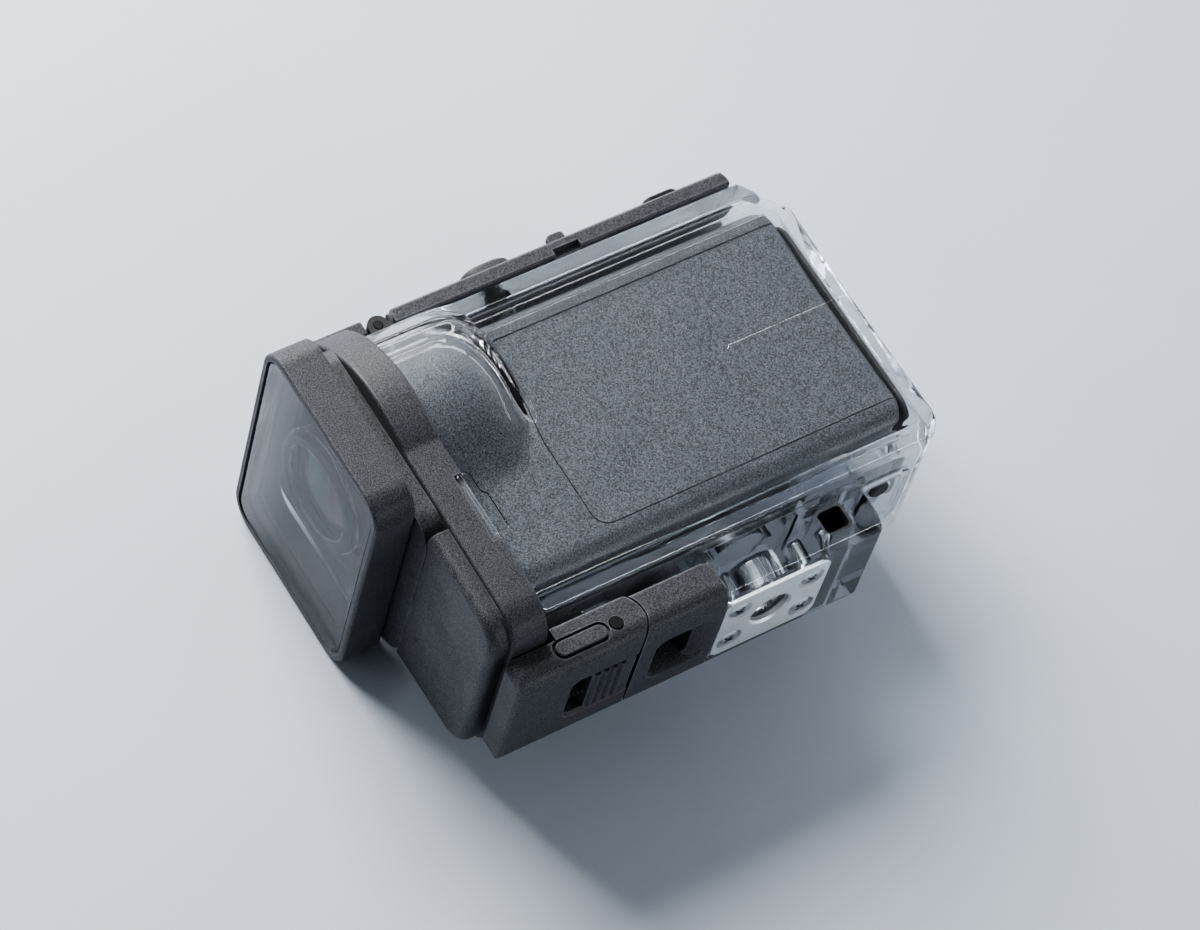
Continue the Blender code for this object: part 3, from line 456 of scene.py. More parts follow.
def clear_plastic(name, tint=(0.95, 0.97, 0.98), roughness=(0.0, 0.02), ior=1.30, coat=0.6,
                  frosting=(), gloss=(), rim=0.12):
    """Clear plastic with a glossy skin; its colour darkens where it is seen edge-on, a painted shade for
    the dark things that thick clear edges reflect.

    frosting lists (axis, start, end, low, high) ramps of roughness, and gloss those of the coat.
    """
    material, tree, shader = new_material(name)
    coords = object_coords(tree)
    haze = noise(tree, coords, 90, 4.0, 0.6)
    rough = ranged(tree, haze, 0.42, 0.75, *roughness)
    for ramp in frosting:
        rough = math_node(tree, "MAXIMUM", rough, along(tree, *ramp))
    link(rough, shader.inputs["Roughness"])
    smoke = tuple(c * 0.97 for c in tint)
    body = mixed(tree, haze, tint, smoke)
    # Painted shade: seen edge-on, the colour falls towards rim times the tint.
    facing = node(tree, "ShaderNodeLayerWeight").outputs["Facing"]
    painted_edge_shade = ranged(tree, facing, 0.5, 1.0, 0.0, 1.0)
    dark = tuple(c * rim for c in tint)
    link(mixed(tree, painted_edge_shade, body, dark), shader.inputs["Base Color"])
    preset(shader, Transmission_Weight=1.0, IOR=ior, Coat_Weight=coat, Coat_Roughness=0.01)
    if gloss:
        weight = along(tree, *gloss[0])
        for ramp in gloss[1:]:
            weight = math_node(tree, "MAXIMUM", weight, along(tree, *ramp))
        link(weight, shader.inputs["Coat Weight"])
    bumped(tree, shader, noise(tree, coords, 45, 2.0, 0.5), 0.02, 0.0001)
    return lamp_clear(material, tree, shader)


def metal(name, dark, light, roughness=(0.2, 0.34), stretch=(1, 40, 1), grain=0.06):
    material, tree, shader = new_material(name)
    mapping = node(tree, "ShaderNodeMapping")
    mapping.inputs["Scale"].default_value = stretch
    link(object_coords(tree), mapping.inputs["Vector"])
    streaks = noise(tree, mapping.outputs["Vector"], 220, 3.0, 0.6)
    link(mixed(tree, streaks, dark, light), shader.inputs["Base Color"])
    link(ranged(tree, streaks, 0.3, 0.7, *roughness), shader.inputs["Roughness"])
    shader.inputs["Metallic"].default_value = 1.0
    bumped(tree, shader, streaks, grain, 0.00005)
    return material


def plain(name, dark, light, roughness=(0.3, 0.45), scale=900, grain=0.05, coat=0.0,
          specular=0.5):
    material, tree, shader = new_material(name)
    coords = object_coords(tree)
    spots = noise(tree, coords, scale, 3.0, 0.6)
    link(mixed(tree, spots, dark, light), shader.inputs["Base Color"])
    link(ranged(tree, spots, 0.3, 0.7, *roughness), shader.inputs["Roughness"])
    preset(shader, Coat_Weight=coat, Specular_IOR_Level=specular)
    bumped(tree, shader, spots, grain, 0.00005)
    return material


def lens_with_painted_reflections(name):
    """Dark domed glass whose colour runs from a painted magenta reflection below to a painted green
    reflection above.
    """
    material, tree, shader = new_material(name)
    split = node(tree, "ShaderNodeSeparateXYZ")
    link(object_coords(tree), split.inputs[0])
    top_x = TO_ROW @ Vector((0, 0, LENS_Z + 8.0))
    low_x = TO_ROW @ Vector((0, 0, LENS_Z - 8.0))
    height = ranged(tree, split.outputs["X"], low_x.x, top_x.x, 0.0, 1.0)
    wobble = noise(tree, object_coords(tree), 110, 2.0, 0.5)
    height = math_node(tree, "ADD", height, ranged(tree, wobble, 0.3, 0.7, -0.12, 0.12))
    # Painted reflections in the base colour: magenta below, near black in the middle, green above.
    ramp = node(tree, "ShaderNodeValToRGB")
    painted_reflection_stops = ((0.05, (0.24, 0.05, 0.08)), (0.28, (0.18, 0.04, 0.08)), (0.5, (0.006, 0.007, 0.01)),
             (0.72, (0.03, 0.16, 0.07)), (0.95, (0.08, 0.24, 0.12)))
    elements = ramp.color_ramp.elements
    while len(elements) < len(painted_reflection_stops):
        elements.new(0.5)
    for element, (place, colour) in zip(elements, painted_reflection_stops):
        element.position = place
        element.color = (*colour, 1.0)
    link(height, ramp.inputs[0])
    link(ramp.outputs["Color"], shader.inputs["Base Color"])
    link(ranged(tree, wobble, 0.3, 0.7, 0.03, 0.08), shader.inputs["Roughness"])
    preset(shader, Coat_Weight=0.3, Coat_Roughness=0.02)
    return material


LOOKS = {
    "clear_shell": clear_plastic("clear_polycarbonate", ior=1.20,
                                 frosting=(("X", -22.2, -23.4, 0.0, 0.16), ("X", 22.0, 24.0, 0.0, 0.06),
                                           ("Y", 46.6, 47.8, 0.0, 0.06)),
                                 gloss=(("X", -19.0, -21.5, 0.12, 1.0), ("X", 20.0, 22.0, 0.0, 1.0),
                                        ("Y", 45.0, 47.0, 0.0, 1.0))),
    "smoke_clear": clear_plastic("smoked_polycarbonate", (0.88, 0.90, 0.93), (0.05, 0.09), 1.16,
                                 rim=0.5),
    "graphite_plastic": moulded("graphite_grain", (0.014, 0.015, 0.017), (0.080, 0.084, 0.094),
                                (0.42, 0.56), 0.6, 0.5, fineness=4600),
    "camera_plastic": moulded("camera_speckle", (0.014, 0.015, 0.017), (0.082, 0.086, 0.097),
                              (0.34, 0.46), 0.7, 0.0, 0.08),
    "window_glass": clear_plastic("coated_window", (0.52, 0.54, 0.58), (0.0, 0.008), 1.18,
                                  gloss=(("X", -30.0, -17.0, 0.9, 0.1),), rim=0.5),
    "black_steel": metal("black_steel", (0.03, 0.03, 0.032), (0.05, 0.05, 0.053), (0.35, 0.5)),
    "black_rubber": plain("black_rubber", (0.008, 0.008, 0.009), (0.016, 0.016, 0.017),
                          (0.5, 0.7), 1600, 0.15),
    "lens_black": plain("satin_black", (0.005, 0.005, 0.006), (0.012, 0.012, 0.014), (0.3, 0.42),
                        1200, 0.04, specular=0.25),
    "lens_glass": lens_with_painted_reflections("lens_with_painted_reflections"),
    "steel": metal("stainless_steel", (0.50, 0.51, 0.53), (0.72, 0.73, 0.75)),
    "plate_metal": metal("satin_plate", (0.86, 0.87, 0.88), (0.95, 0.955, 0.96), (0.42, 0.56),
                         (30, 1, 1), 0.04),
    "circuit_board": plain("solder_mask", (0.010, 0.085, 0.040), (0.018, 0.13, 0.06), coat=0.4),
    "battery_wrap": plain("battery_wrap", (0.035, 0.042, 0.07), (0.055, 0.062, 0.09)),
    "display": plain("dark_display", (0.010, 0.012, 0.018), (0.016, 0.018, 0.026), (0.08, 0.16),
                     300, 0.01, 0.8),
    "foam": plain("dark_foam", (0.012, 0.012, 0.013), (0.030, 0.030, 0.032), (0.8, 0.95), 2600, 0.5),
}

# Painted shade: this rear wall's colour falls almost to black where it is seen edge-on, for the dark band
# along the thick rear rim.
REAR_WALL_LOOK = clear_plastic("clear_rear_wall", ior=1.06, coat=1.0, rim=0.05)

SLOT_OF = {part["node"]: part["material_slot"] for part in frame["record"]["subparts"]}
BODY_OF = {name: body for body, names in frame["record"]["behaviour"]["bodies"].items()
           for name in names}

for name, cad_node in frame["nodes"].items():
    cad_node.data.materials.clear()
    cad_node.data.materials.append(LOOKS[SLOT_OF[name]])


def finish(obj, *nodes, look=None, body=None, angle=32, flat_normals=True):
    """Lays a piece in the frame, gives it its look and body, and hides the nodes it stands for."""
    slot = look or SLOT_OF[nodes[0]]
    obj.data.transform(TO_ROW)
    obj.data.materials.clear()
    obj.data.materials.append(LOOKS[slot])
    obj.data.shade_smooth()
    obj.data.set_sharp_from_angle(angle=math.radians(angle))
    if flat_normals:
        weighted = obj.modifiers.new("face_normals", "WEIGHTED_NORMAL")
        weighted.keep_sharp = True
        weighted.weight = 80
    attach(obj, body or BODY_OF[nodes[0]])
    if nodes:
        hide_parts(*nodes)
    return obj


# ---- hulls: a cross-section that changes along y, as distances from a centre line ----

CENTRE_Z = 8.0


def smooth_max(a, b, k):
    h = np.maximum(k - np.abs(a - b), 0.0) / k
    return np.maximum(a, b) + h * h * k * 0.25


def smooth_min(a, b, k):
    return -smooth_max(-a, -b, k)


def outline_reach(outline, angles):
    """How far an outline lies from the centre line in each direction."""
    p = np.array(outline) - (0.0, CENTRE_Z)
    e = np.roll(p, -1, 0) - p
    dx, dz = np.cos(angles)[:, None], np.sin(angles)[:, None]
    det = dx * e[:, 1] - dz * e[:, 0]
    det = np.where(np.abs(det) < 1e-12, 1e-12, det)
    t = (p[:, 0] * e[:, 1] - p[:, 1] * e[:, 0]) / det
    s = (p[:, 0] * dz - p[:, 1] * dx) / det
    return np.where((s > -1e-6) & (s < 1 + 1e-6), t, -1.0).max(1)


def circle_reach(radius, angles):
    """The same for a circle about the lens axis; far inside where the circle is small."""
    along = np.sin(angles) * (LENS_Z - CENTRE_Z)
    root = along ** 2 - (LENS_Z - CENTRE_Z) ** 2 + radius ** 2
    return np.where(root > 0, along + np.sqrt(np.maximum(root, 0)), -20.0)


def bulge_radius(y, wall=0.0):
    """The round swelling: full size at the front, rounded off towards the rear, less a wall."""
    y += wall * 0.6
    drop = BULGE_R - SHELL_HALF_W + 1.0
    t = min(1.0, max(0.0, (y - BULGE_END + BULGE_ROUND) / BULGE_ROUND))
    past = max(0.0, y - BULGE_END)
    return max(1.0, BULGE_R - drop * (1 - math.sqrt(1 - t * t)) - 2.0 * past - wall)


def hull_angles(outline, step=1.5):
    corners = [math.atan2(z - CENTRE_Z, x) for x, z in outline]
    corners += list(np.radians(np.arange(-180, 180, step)))
    angles = []
    for a in sorted(c % (2 * math.pi) for c in corners):
        if not angles or a - angles[-1] > math.radians(0.12):
            angles.append(a)
    return np.array(angles)


def hull_rings(outline, ys, angles, wall, top, limits, end_y, end_r, extra=None):
    """Rings of points, from front to rear; limits(y) gives the lowest and highest z there."""
    section = outline_reach(outline, angles)
    rings = []
    for y in ys:
        reach = smooth_max(section, circle_reach(bulge_radius(y, wall), angles), BULGE_BLEND)
        if extra is not None:
            reach = extra(reach, y, angles)
        low, high = limits(y)
        sines = np.sin(angles)
        with np.errstate(divide="ignore", invalid="ignore"):
            ceiling = np.where(sines > 1e-6, (min(high, top) - CENTRE_Z) / sines, 1e6)
            floor = np.where(sines < -1e-6, (low - CENTRE_Z) / sines, 1e6)
        reach = smooth_min(reach, ceiling, 0.8)
        reach = smooth_min(reach, floor, 0.8)
        depth = max(0.0, y - (end_y - end_r)) / end_r
        reach = reach - end_r * (1 - math.sqrt(max(0.0, 1 - depth * depth)))
        rings.append([(r * math.cos(a), y, CENTRE_Z + r * math.sin(a))
                      for r, a in zip(reach, angles)])
    return rings


def ring_faces(bm, rings):
    for a, b in zip(rings, rings[1:]):
        for i in range(len(a)):
            j = (i + 1) % len(a)
            bm.faces.new((a[i], a[j], b[j], b[i]))


def fan(bm, ring, y):
    """Closes a ring with triangles about the centre line."""
    middle = bm.verts.new(Vector((0, y, CENTRE_Z)))
    for i in range(len(ring)):
        bm.faces.new((ring[i], ring[(i + 1) % len(ring)], middle))


def skinned(bm, rings):
    """Joins rings of points into a skin that is closed at the rear."""
    made = [[bm.verts.new(p) for p in ring] for ring in rings]
    ring_faces(bm, made)
    fan(bm, made[-1], rings[-1][0][1])
    return made


def hull(name, outer, inner):
    """A closed skin between an outer and an inner set of rings, open at the front."""
    bm = bmesh.new()
    front_a, front_b = skinned(bm, outer)[0], skinned(bm, inner)[0]
    bmesh.ops.bridge_loops(
        bm, edges=[e for ring in (front_a, front_b) for i, v in enumerate(ring)
                   for e in v.link_edges if e.other_vert(v) is ring[(i + 1) % len(ring)]])
    bmesh.ops.recalc_face_normals(bm, faces=bm.faces)
    return from_bmesh(name, bm)


def stations(*spans):
    """Distances along y from (start, end, step) spans."""
    ys = []
    for start, end, step in spans:
        count = max(1, round((end - start) / step))
        ys += [start + (end - start) * i / count for i in range(count + (end == spans[-1][1]))]
    return ys


# ---- clear shell ----

def shell_section():
    """Flat sides, a crisp shoulder, a narrower ribbed deck and a rounded lower edge."""
    right = arc(SHELL_HALF_W - 3.0, SHELL_BOTTOM + 3.0, 3.0, -90, 0, 8)
    right += arc(SHELL_HALF_W - 0.9, SHOULDER_Z - 0.9, 0.9, 0, 80, 5)
    right += [(DECK_HALF_W + 0.35, SHOULDER_Z + 0.15), (DECK_HALF_W - 0.1, SHOULDER_Z + 0.6),
              (DECK_HALF_W - 0.3, 32.9), (DECK_HALF_W, 33.3)]
    right += arc(DECK_HALF_W - 0.7, SHELL_TOP - 0.7, 0.7, 0, 90, 4)
    return mirrored(right)


def shell_limits(y):
    """Lowest and highest z of the shell, with its round and sloping rear corners."""
    past = max(0.0, y - (SHELL_REAR - REAR_R))
    rise = math.sqrt(max(0.0, REAR_R ** 2 - past ** 2))
    slope = SHELL_TOP - REAR_SLOPE * (y - REAR_SLOPE_START)
    if y < REAR_SLOPE_START - 1.0:
        return SHELL_BOTTOM + REAR_R - rise, 99.0
    high = float(smooth_min(slope, REAR_CORNER_Z + rise if past > 2.0 else 99.0, 1.2))
    return SHELL_BOTTOM + REAR_R - rise, high


def ridge(z, low, high):
    t = np.clip((z - low) / (high - low), 0, 1)
    return np.sin(np.pi * t) ** 0.7


def shell_ridges(reach, y, angles):
    """Adds the lower rib, tapered at its front end, the rear side rib and the front flange."""
    z = CENTRE_Z + reach * np.sin(angles)
    rise = min(1.0, max(0.0, (y - 37.0) / 11.0))
    rib = 0.6 * rise * (ridge(z, -19.7, -18.5) + ridge(z, -18.3, -17.1))
    lead = min(1.0, max(0.0, y - SIDE_RIB_FRONT + 0.75) / 0.75) * min(1.0, max(0.0, 96.6 - y) / 0.5)
    half = 0.78 * math.sqrt(1 - (1 - lead) ** 2) + 1e-6
    rib = rib + 0.14 * np.clip((half - np.abs(z - SIDE_RIB_Z)) / 0.25, 0, 1)
    reach = reach + rib * np.abs(np.cos(angles))
    for low, high in DECK_RIBS:
        reach = reach + 0.45 * ridge(z, low, high)
    if y < 19.5:
        flange = np.minimum(outline_reach(lid_outline(3.2), angles), 99)
        reach = np.maximum(reach, flange)
    return reach


def cavity_limits(y):
    return -18.0, CAVITY_TOP - REAR_SLOPE * max(0.0, y - CAVITY_SLOPE_START)


def clear_shell():
    section = shell_section()
    rib_zs = list(np.arange(-19.9, -16.9, 0.12)) + list(np.arange(SIDE_RIB_Z - 1.0, SIDE_RIB_Z + 1.05, 0.1))
    angles = hull_angles(section + lid_outline(3.2, 12)
                         + [(SHELL_HALF_W * side, z) for side in (-1, 1) for z in rib_zs]
                         + [(DECK_HALF_W * side, z) for side in (-1, 1)
                            for z in np.arange(28.6, 32.9, 0.18)])
    ys = stations((SHELL_FRONT, 19.5, 2.4), (19.52, 27.0, 1.2), (27.0, 42.0, 0.4), (42.0, 50.0, 1.0),
                  (50.0, 72.6, 3.0), (72.6, 73.8, 0.12), (73.8, 90.6, 2.6), (90.6, 97.0, 0.25),
                  (97.0, SHELL_REAR, 0.1))
    outer = hull_rings(section, ys, angles, 0.0, SHELL_TOP, shell_limits, SHELL_REAR, 1.7,
                       shell_ridges)
    room = rounded_rect(-12.9, 12.9, -18.0, CAVITY_TOP, 2.5)
    inner_ys = stations((SHELL_FRONT, 27.0, 1.5), (27.0, 42.0, 0.4), (42.0, 91.0, 3.4),
                        (91.0, 95.3, 0.3), (95.3, CAVITY_REAR, 0.1))
    inner = hull_rings(room, inner_ys, angles, CAVITY_WALL, CAVITY_TOP, cavity_limits,
                       CAVITY_REAR, 0.8)
    shell = hull("clear_shell", outer, inner)
    holes = [rod("hole", "x", (0, b, SIDE_BUTTON_Z), 1.6, -18, -11, 24) for b in SIDE_BUTTON_YS]
    holes += [rod("rec_hole", "z", REC, 1.65, 30, 34.7, 24), rod("seal_room", "z", REC, 2.7, 34.6, 38, 32),
              rod("plug_room", "z", (4.0, 87.0, 0), 2.3, -23.0, -21.0, 32),
              rod("knuckle_room", "x", HINGE, KNUCKLE_R + 0.35, -14.2, 14.2, 40)]
    cut(shell, holes[0], holes[1], holes[2], holes[3])
    cut(shell, *holes[4:])
    finish(shell, "housing_shell", angle=28, flat_normals=False)
    shell.data.materials.append(REAR_WALL_LOOK)
    for face in shell.data.polygons:
        if face.center.y > REAR_WALL_Y * MM:
            face.material_index = 1


def shell_lugs():
    """Two clear lugs that carry the buckle's pin."""
    for hand, side in HANDS:
        inner, outer = sorted((side * 6.6, side * 9.4))
        y, z = BUCKLE_PIN[1:]
        side_view = arc(y, z, 2.6, 180, 360, 16)
        side_view += [(y + 2.6, SHELL_BOTTOM + 0.6), (y - 2.6, SHELL_BOTTOM + 0.6)]
        lug = prism(f"buckle_lug_{hand}", side_view, "x", inner, outer, 0.2, 2)
        cut(lug, rod("pin_hole", "x", BUCKLE_PIN, 1.2, -12, 12, 32))
        finish(lug, look="clear_shell", body="housing")


def shell_trim():
    """The raised frame in the underside at the rear."""
    ring = prism("underside_frame", rounded_rect(-8.0, 8.0, 81.6, 92.6, 2.2), "z", -22.35, -21.9,
                 0.15, 2)
    cut(ring, prism("frame_hole", rounded_rect(-6.9, 6.9, 82.7, 91.5, 1.5), "z", -23, -21))
    finish(ring, look="clear_shell", body="housing")


# ---- camera inside ----

def camera_limits(y):
    past = max(0.0, y - (CAM_REAR - CAM_CORNER_R))
    drop = CAM_CORNER_R - math.sqrt(max(0.0, CAM_CORNER_R ** 2 - past ** 2))
    return CAM_BOTTOM + drop, CAM_TOP - drop


def camera_outline(d):
    """The case's cross-section, drawn in by d."""
    right = arc(CAM_HALF_W - d - CAM_CORNER_R, CAM_BOTTOM + d + CAM_CORNER_R, CAM_CORNER_R, -90, 0, 10)
    right += arc(CAM_HALF_W - d - 3.0, CAM_TOP - d - 3.0, 3.0, 0, 90, 8)
    return mirrored(right)


def camera_skin():
    outline = camera_outline(0.0)
    angles = hull_angles(outline)
    ys = stations((CAM_FRONT, 26.0, 2.0), (26.0, 42.0, 0.4), (42.0, 90.0, 4.0), (90.0, 94.0, 0.4),
                  (94.0, CAM_REAR, 0.1))
    outer = hull_rings(outline, ys, angles, CAMERA_WALL, CAM_TOP, camera_limits, CAM_REAR,
                       CAM_END_R)
    inner_ys = [CAM_FRONT + 1.0 if y == CAM_FRONT else y for y in ys if y < CAM_REAR - CAM_WALL - 0.2]
    inner_ys.append(CAM_REAR - CAM_WALL)

    def inner_limits(y):
        low, high = camera_limits(y)
        return low + CAM_WALL, high - CAM_WALL

    inner = hull_rings(camera_outline(CAM_WALL), inner_ys, angles, CAMERA_WALL + CAM_WALL,
                       CAM_TOP - CAM_WALL, inner_limits, CAM_REAR, CAM_END_R)
    solids = []
    for name, rings, front_y in (("camera_body", outer, CAM_FRONT), ("camera_room", inner, inner_ys[0])):
        bm = bmesh.new()
        front = skinned(bm, rings)[0]
        middle = bm.verts.new(Vector((0, front_y, CENTRE_Z)))
        for i in range(len(front)):
            bm.faces.new((front[(i + 1) % len(front)], front[i], middle))
        solids.append(from_bmesh(name, bm))
    return solids


def copied(obj, name):
    twin = obj.copy()
    twin.data = obj.data.copy()
    twin.name = name
    bpy.context.scene.collection.objects.link(twin)
    return twin


def camera_body():
    solid, room = camera_skin()
    panel_outline = rounded_rect(36.75, 99.0, -11.4, 26.4, 2.8, 10)
    panel = copied(solid, "side_panel")
    keep_common(panel, prism("panel_keep", panel_outline, "x", CAM_HALF_W - 0.55, 30))
    finish(panel, "camera_side_panel", flat_normals=False)
    for hand, side in HANDS:
        half = copied(solid, f"camera_{hand}")
        low, high = sorted((side * 0.12, side * 40))
        keep_common(half, box("half_keep", low, high, 0, 120, -60, 60))
        tools = [copied(room, "room")]
        if side > 0:
            pocket = rounded_rect(36.55, 99.5, -11.6, 26.6, 3.0, 10)
            tools.append(prism("panel_room", pocket, "x", CAM_HALF_W - 0.75, 30))
        else:
            opening = rounded_rect(59.0, 82.0, 5.0, 22.0, 1.5)
            tools.append(prism("display_room", opening, "x", -30, -10.0))
        for tool in tools:
            cut(half, tool)
        cut(half, rod("lens_hole", "y", (0, 0, LENS_Z), BARREL_R + 0.3, 5, 17, 72),
            rod("nut_room", "z", (0, 44.0, 0), 4.3, -20, -13, 32),
            box("door_room", -9.3, 9.3, 93.2, 100, -12.3, 26.3))
        if side > 0:
            cut(half, rod("button_room", "z", REC, 3.9, 28, 33, 40))
        finish(half, f"camera_case_{hand}", flat_normals=False)
    for leftover in (solid, room):
        bpy.data.objects.remove(leftover, do_unlink=True)
    pad = rounded_rect(-12.2, 12.2, -15.6, 26.9, 3.6)
    finish(prism("rear_pad", pad, "y", CAM_REAR + 0.15, CAVITY_REAR - 0.25, 0.25, 3), "rear_cushion")


# ---- top cover and shutter button ----

def crown_z(x):
    return TOP_Z + COVER_CROWN * (1 - (x / DECK_HALF_W) ** 2)


def top_cover():
    xs = [DECK_HALF_W * (1 - i / 16) for i in range(16)]
    right = [(DECK_HALF_W - 0.3, COVER_BOTTOM), (DECK_HALF_W, COVER_BOTTOM + 0.3)]
    right += [(x, crown_z(x) - 0.35 * max(0.0, 1 - (DECK_HALF_W - x) / 0.9) ** 2) for x in xs]
    section = right + [(0, crown_z(0))] + [(-x, z) for x, z in reversed(right)]
    cover = prism("cover", section, "y", COVER_FRONT, COVER_REAR)
    high = TOP_Z + COVER_CROWN + 0.1
    side = [(COVER_FRONT + 0.2, COVER_BOTTOM - 1), (COVER_REAR + 0.2, COVER_BOTTOM - 1)]
    side += [(COVER_REAR + 0.2, COVER_BOTTOM + 0.6)]
    side += arc(COVER_REAR - 2.2, high - 1.2, 1.2, 25, 90, 5)
    side += arc(COVER_FRONT + 4.7, high - 4.5, 4.5, 90, 180, 14)
    keep_common(cover, prism("cover_keep", side, "x", -30, 30))
    soften(cover, 0.3, 3, 45)
    rooms = [prism("button_room", superellipse(REC[0], REC[1], 6.95, 5.65), "z", 38.2, 46.0),
             box("side_notch", DECK_HALF_W - 1.2, DECK_HALF_W + 1, 57.0, 62.0, 35.5, 37.4),
             box("lamp_room", 8.3, 12.2, 76.7, 84.3, 38.0, 42.0)]
    cut(cover, *rooms)
    cut(cover, rod("spring_room", "z", REC, 2.9, 36.9, 39.0, 40),
        box("fin_room", 10.9, 12.7, 57.4, 61.4, 38.0, 42.0))
    cut(cover, rod("shaft_room", "z", REC, 1.65, 34.0, 38.0, 32))
    finish(cover, "top_cover")


def domed(name, outline_of, levels, axis="z"):
    """A cap whose outline shrinks level by level: outline_of(inset) with (inset, height) levels."""
    bm = bmesh.new()
    rings = []
    for inset, height in levels:
        rings.append([bm.verts.new(AXES[axis] @ Vector((u, v, height))) for u, v in outline_of(inset)])
    bm.faces.new(rings[0])
    ring_faces(bm, rings)
    bm.faces.new(list(reversed(rings[-1])))
    return from_bmesh(name, bm)


def shutter_button():
    levels = [(0.0, 39.5), (0.0, 40.9)]
    levels += [(5.0 * (1 - math.cos(math.radians(a))), 40.9 + 1.4 * math.sin(math.radians(a)))
               for a in (12, 24, 36, 48, 60, 75)]
    cap = domed("shutter_cap", lambda d: superellipse(REC[0], REC[1], 6.6 - d, 5.3 - d * 0.95), levels)
    cut(cap, rod("spring_seat", "z", REC, 2.9, 38.0, 40.4, 40))
    join(cap, rod("shaft", "z", REC, 1.4, 32.6, 40.9, 32))
    groove = turned("clip_groove", [(2.0, 33.35), (2.0, 32.95), (1.0, 32.95), (1.0, 33.35)], "z", REC)
    cut(cap, groove)
    finish(cap, "rec_button")


def cover_details():
    window = domed("rear_lamp_window",
                   lambda d: rounded_rect(8.6 + d, 11.9 - d, 77.0 + d * 1.6, 84.0 - d * 1.6, 1.5 - d),
                   [(0, 38.3), (0, crown_z(10.25) + 0.1), (0.2, crown_z(10.25) + 0.45),
                    (0.6, crown_z(10.25) + 0.68), (1.1, crown_z(10.25) + 0.76)])
    finish(window, "tally_window")
    high = crown_z(11.8) + 1.3
    side = [(57.7, 38.3), (61.1, 38.3), (61.1, high - 0.9)]
    side += arc(60.4, high - 0.7, 0.7, 0, 90, 5) + arc(58.7, high - 1.0, 1.0, 90, 180, 6)
    finish(prism("light_guide_fin", side, "x", 11.2, 12.4, 0.25, 3), "status_fin")


# ---- lid ----

def lid():
    band = prism("lid_body", lid_outline(), "y", BAND_FRONT, BAND_REAR, 0.55, 4)
    cut(band, prism("band_room", lid_outline(2.0), "y", BAND_FRONT + 1.6, BAND_REAR + 1))
    chin = prism("chin", lid_outline(0.9), "y", LID_FRONT, BAND_FRONT + 1.0, 1.5, 5)
    keep_common(chin, box("chin_keep", -40, 40, 0, 20, -40, -3.7))
    neck = prism("neck", rounded_rect(-19.5, 19.5, -4.2, 35.2, 5.0), "y", HOOD_DEPTH + 0.25, 12.0)
    tab = box("tab", -DECK_HALF_W, DECK_HALF_W, HOOD_DEPTH + 0.3, HINGE[1] - 2.3, 36.2, TOP_Z, 0.35, 3)
    join(band, chin, neck, tab)
    knuckle = prism("knuckle", circle(HINGE[1], HINGE[2], KNUCKLE_R), "x", -9.7, 9.7, 0.15, 2)
    arm = box("knuckle_arm", -9.7, 9.7, HINGE[1] - 3.0, HINGE[1], HINGE[2], TOP_Z - 0.05)
    join(band, knuckle, arm)
    cut(band, rod("pin_hole", "x", HINGE, 0.85, -20, 20, 32))
    cut(band, rod("opening", "y", (0, 0, LENS_Z), 14.0, 5, 15, 96))
    funnel = turned("funnel", [(0, 7.0), (16.0, 7.0), (16.0, 7.9), (13.9, 9.6), (0, 9.6)], "y",
                    (0, 0, LENS_Z), 96)
    cut(band, funnel)
    cut(band, prism("chin_room", rounded_rect(-17.0, 17.0, -22.0, 3.4, 3.0), "y", LID_FRONT + 1.8, 15))
    for side in (-1, 1):
        inner, outer = sorted((side * 19.6, side * 23))
        cut(band, box("clip_room", inner, outer, 16.6, 20, -9.0, 3.8))
    finish(band, "lid_frame")


def lid_clips():
    """Clear catches let into the band's rear edge, each with a step in its outline."""
    for hand, side in HANDS:
        inner, outer = sorted((side * 19.9, side * 20.8))
        side_view = [(17.2, -8.4), (19.5, -8.4), (20.1, -7.8), (20.1, -1.2), (19.3, -0.4),
                     (19.3, 3.0), (18.9, 3.5), (17.2, 3.5)]
        finish(prism(f"catch_{hand}", side_view, "x", inner, outer, 0.15, 3), f"lid_clip_{hand}")


def hood():
    outer = rounded_rect(-HOOD_HALF_W, HOOD_HALF_W, 0, HOOD_H, HOOD_R, 12)
    body = prism("hood_body", outer, "y", 0, HOOD_DEPTH, 0.55, 5)
    seat = rounded_rect(-HOOD_HALF_W + RIM, HOOD_HALF_W - RIM, RIM, HOOD_H - RIM, HOOD_R - RIM, 12)
    cut(body, prism("window_seat", seat, "y", -1, 3.9))
    inner = rounded_rect(-20.5, 20.5, 3.4, HOOD_H - 3.4, 4.0, 8)
    cut(body, prism("light_opening", inner, "y", 2, 9))
    finish(body, "window_hood")
    inset = RIM + 0.38
    glass = rounded_rect(-HOOD_HALF_W + inset, HOOD_HALF_W - inset, inset, HOOD_H - inset,
                         HOOD_R - inset, 12)
    finish(prism("window_pane", glass, "y", 0.22, 2.4, 0.18, 2), "front_window")


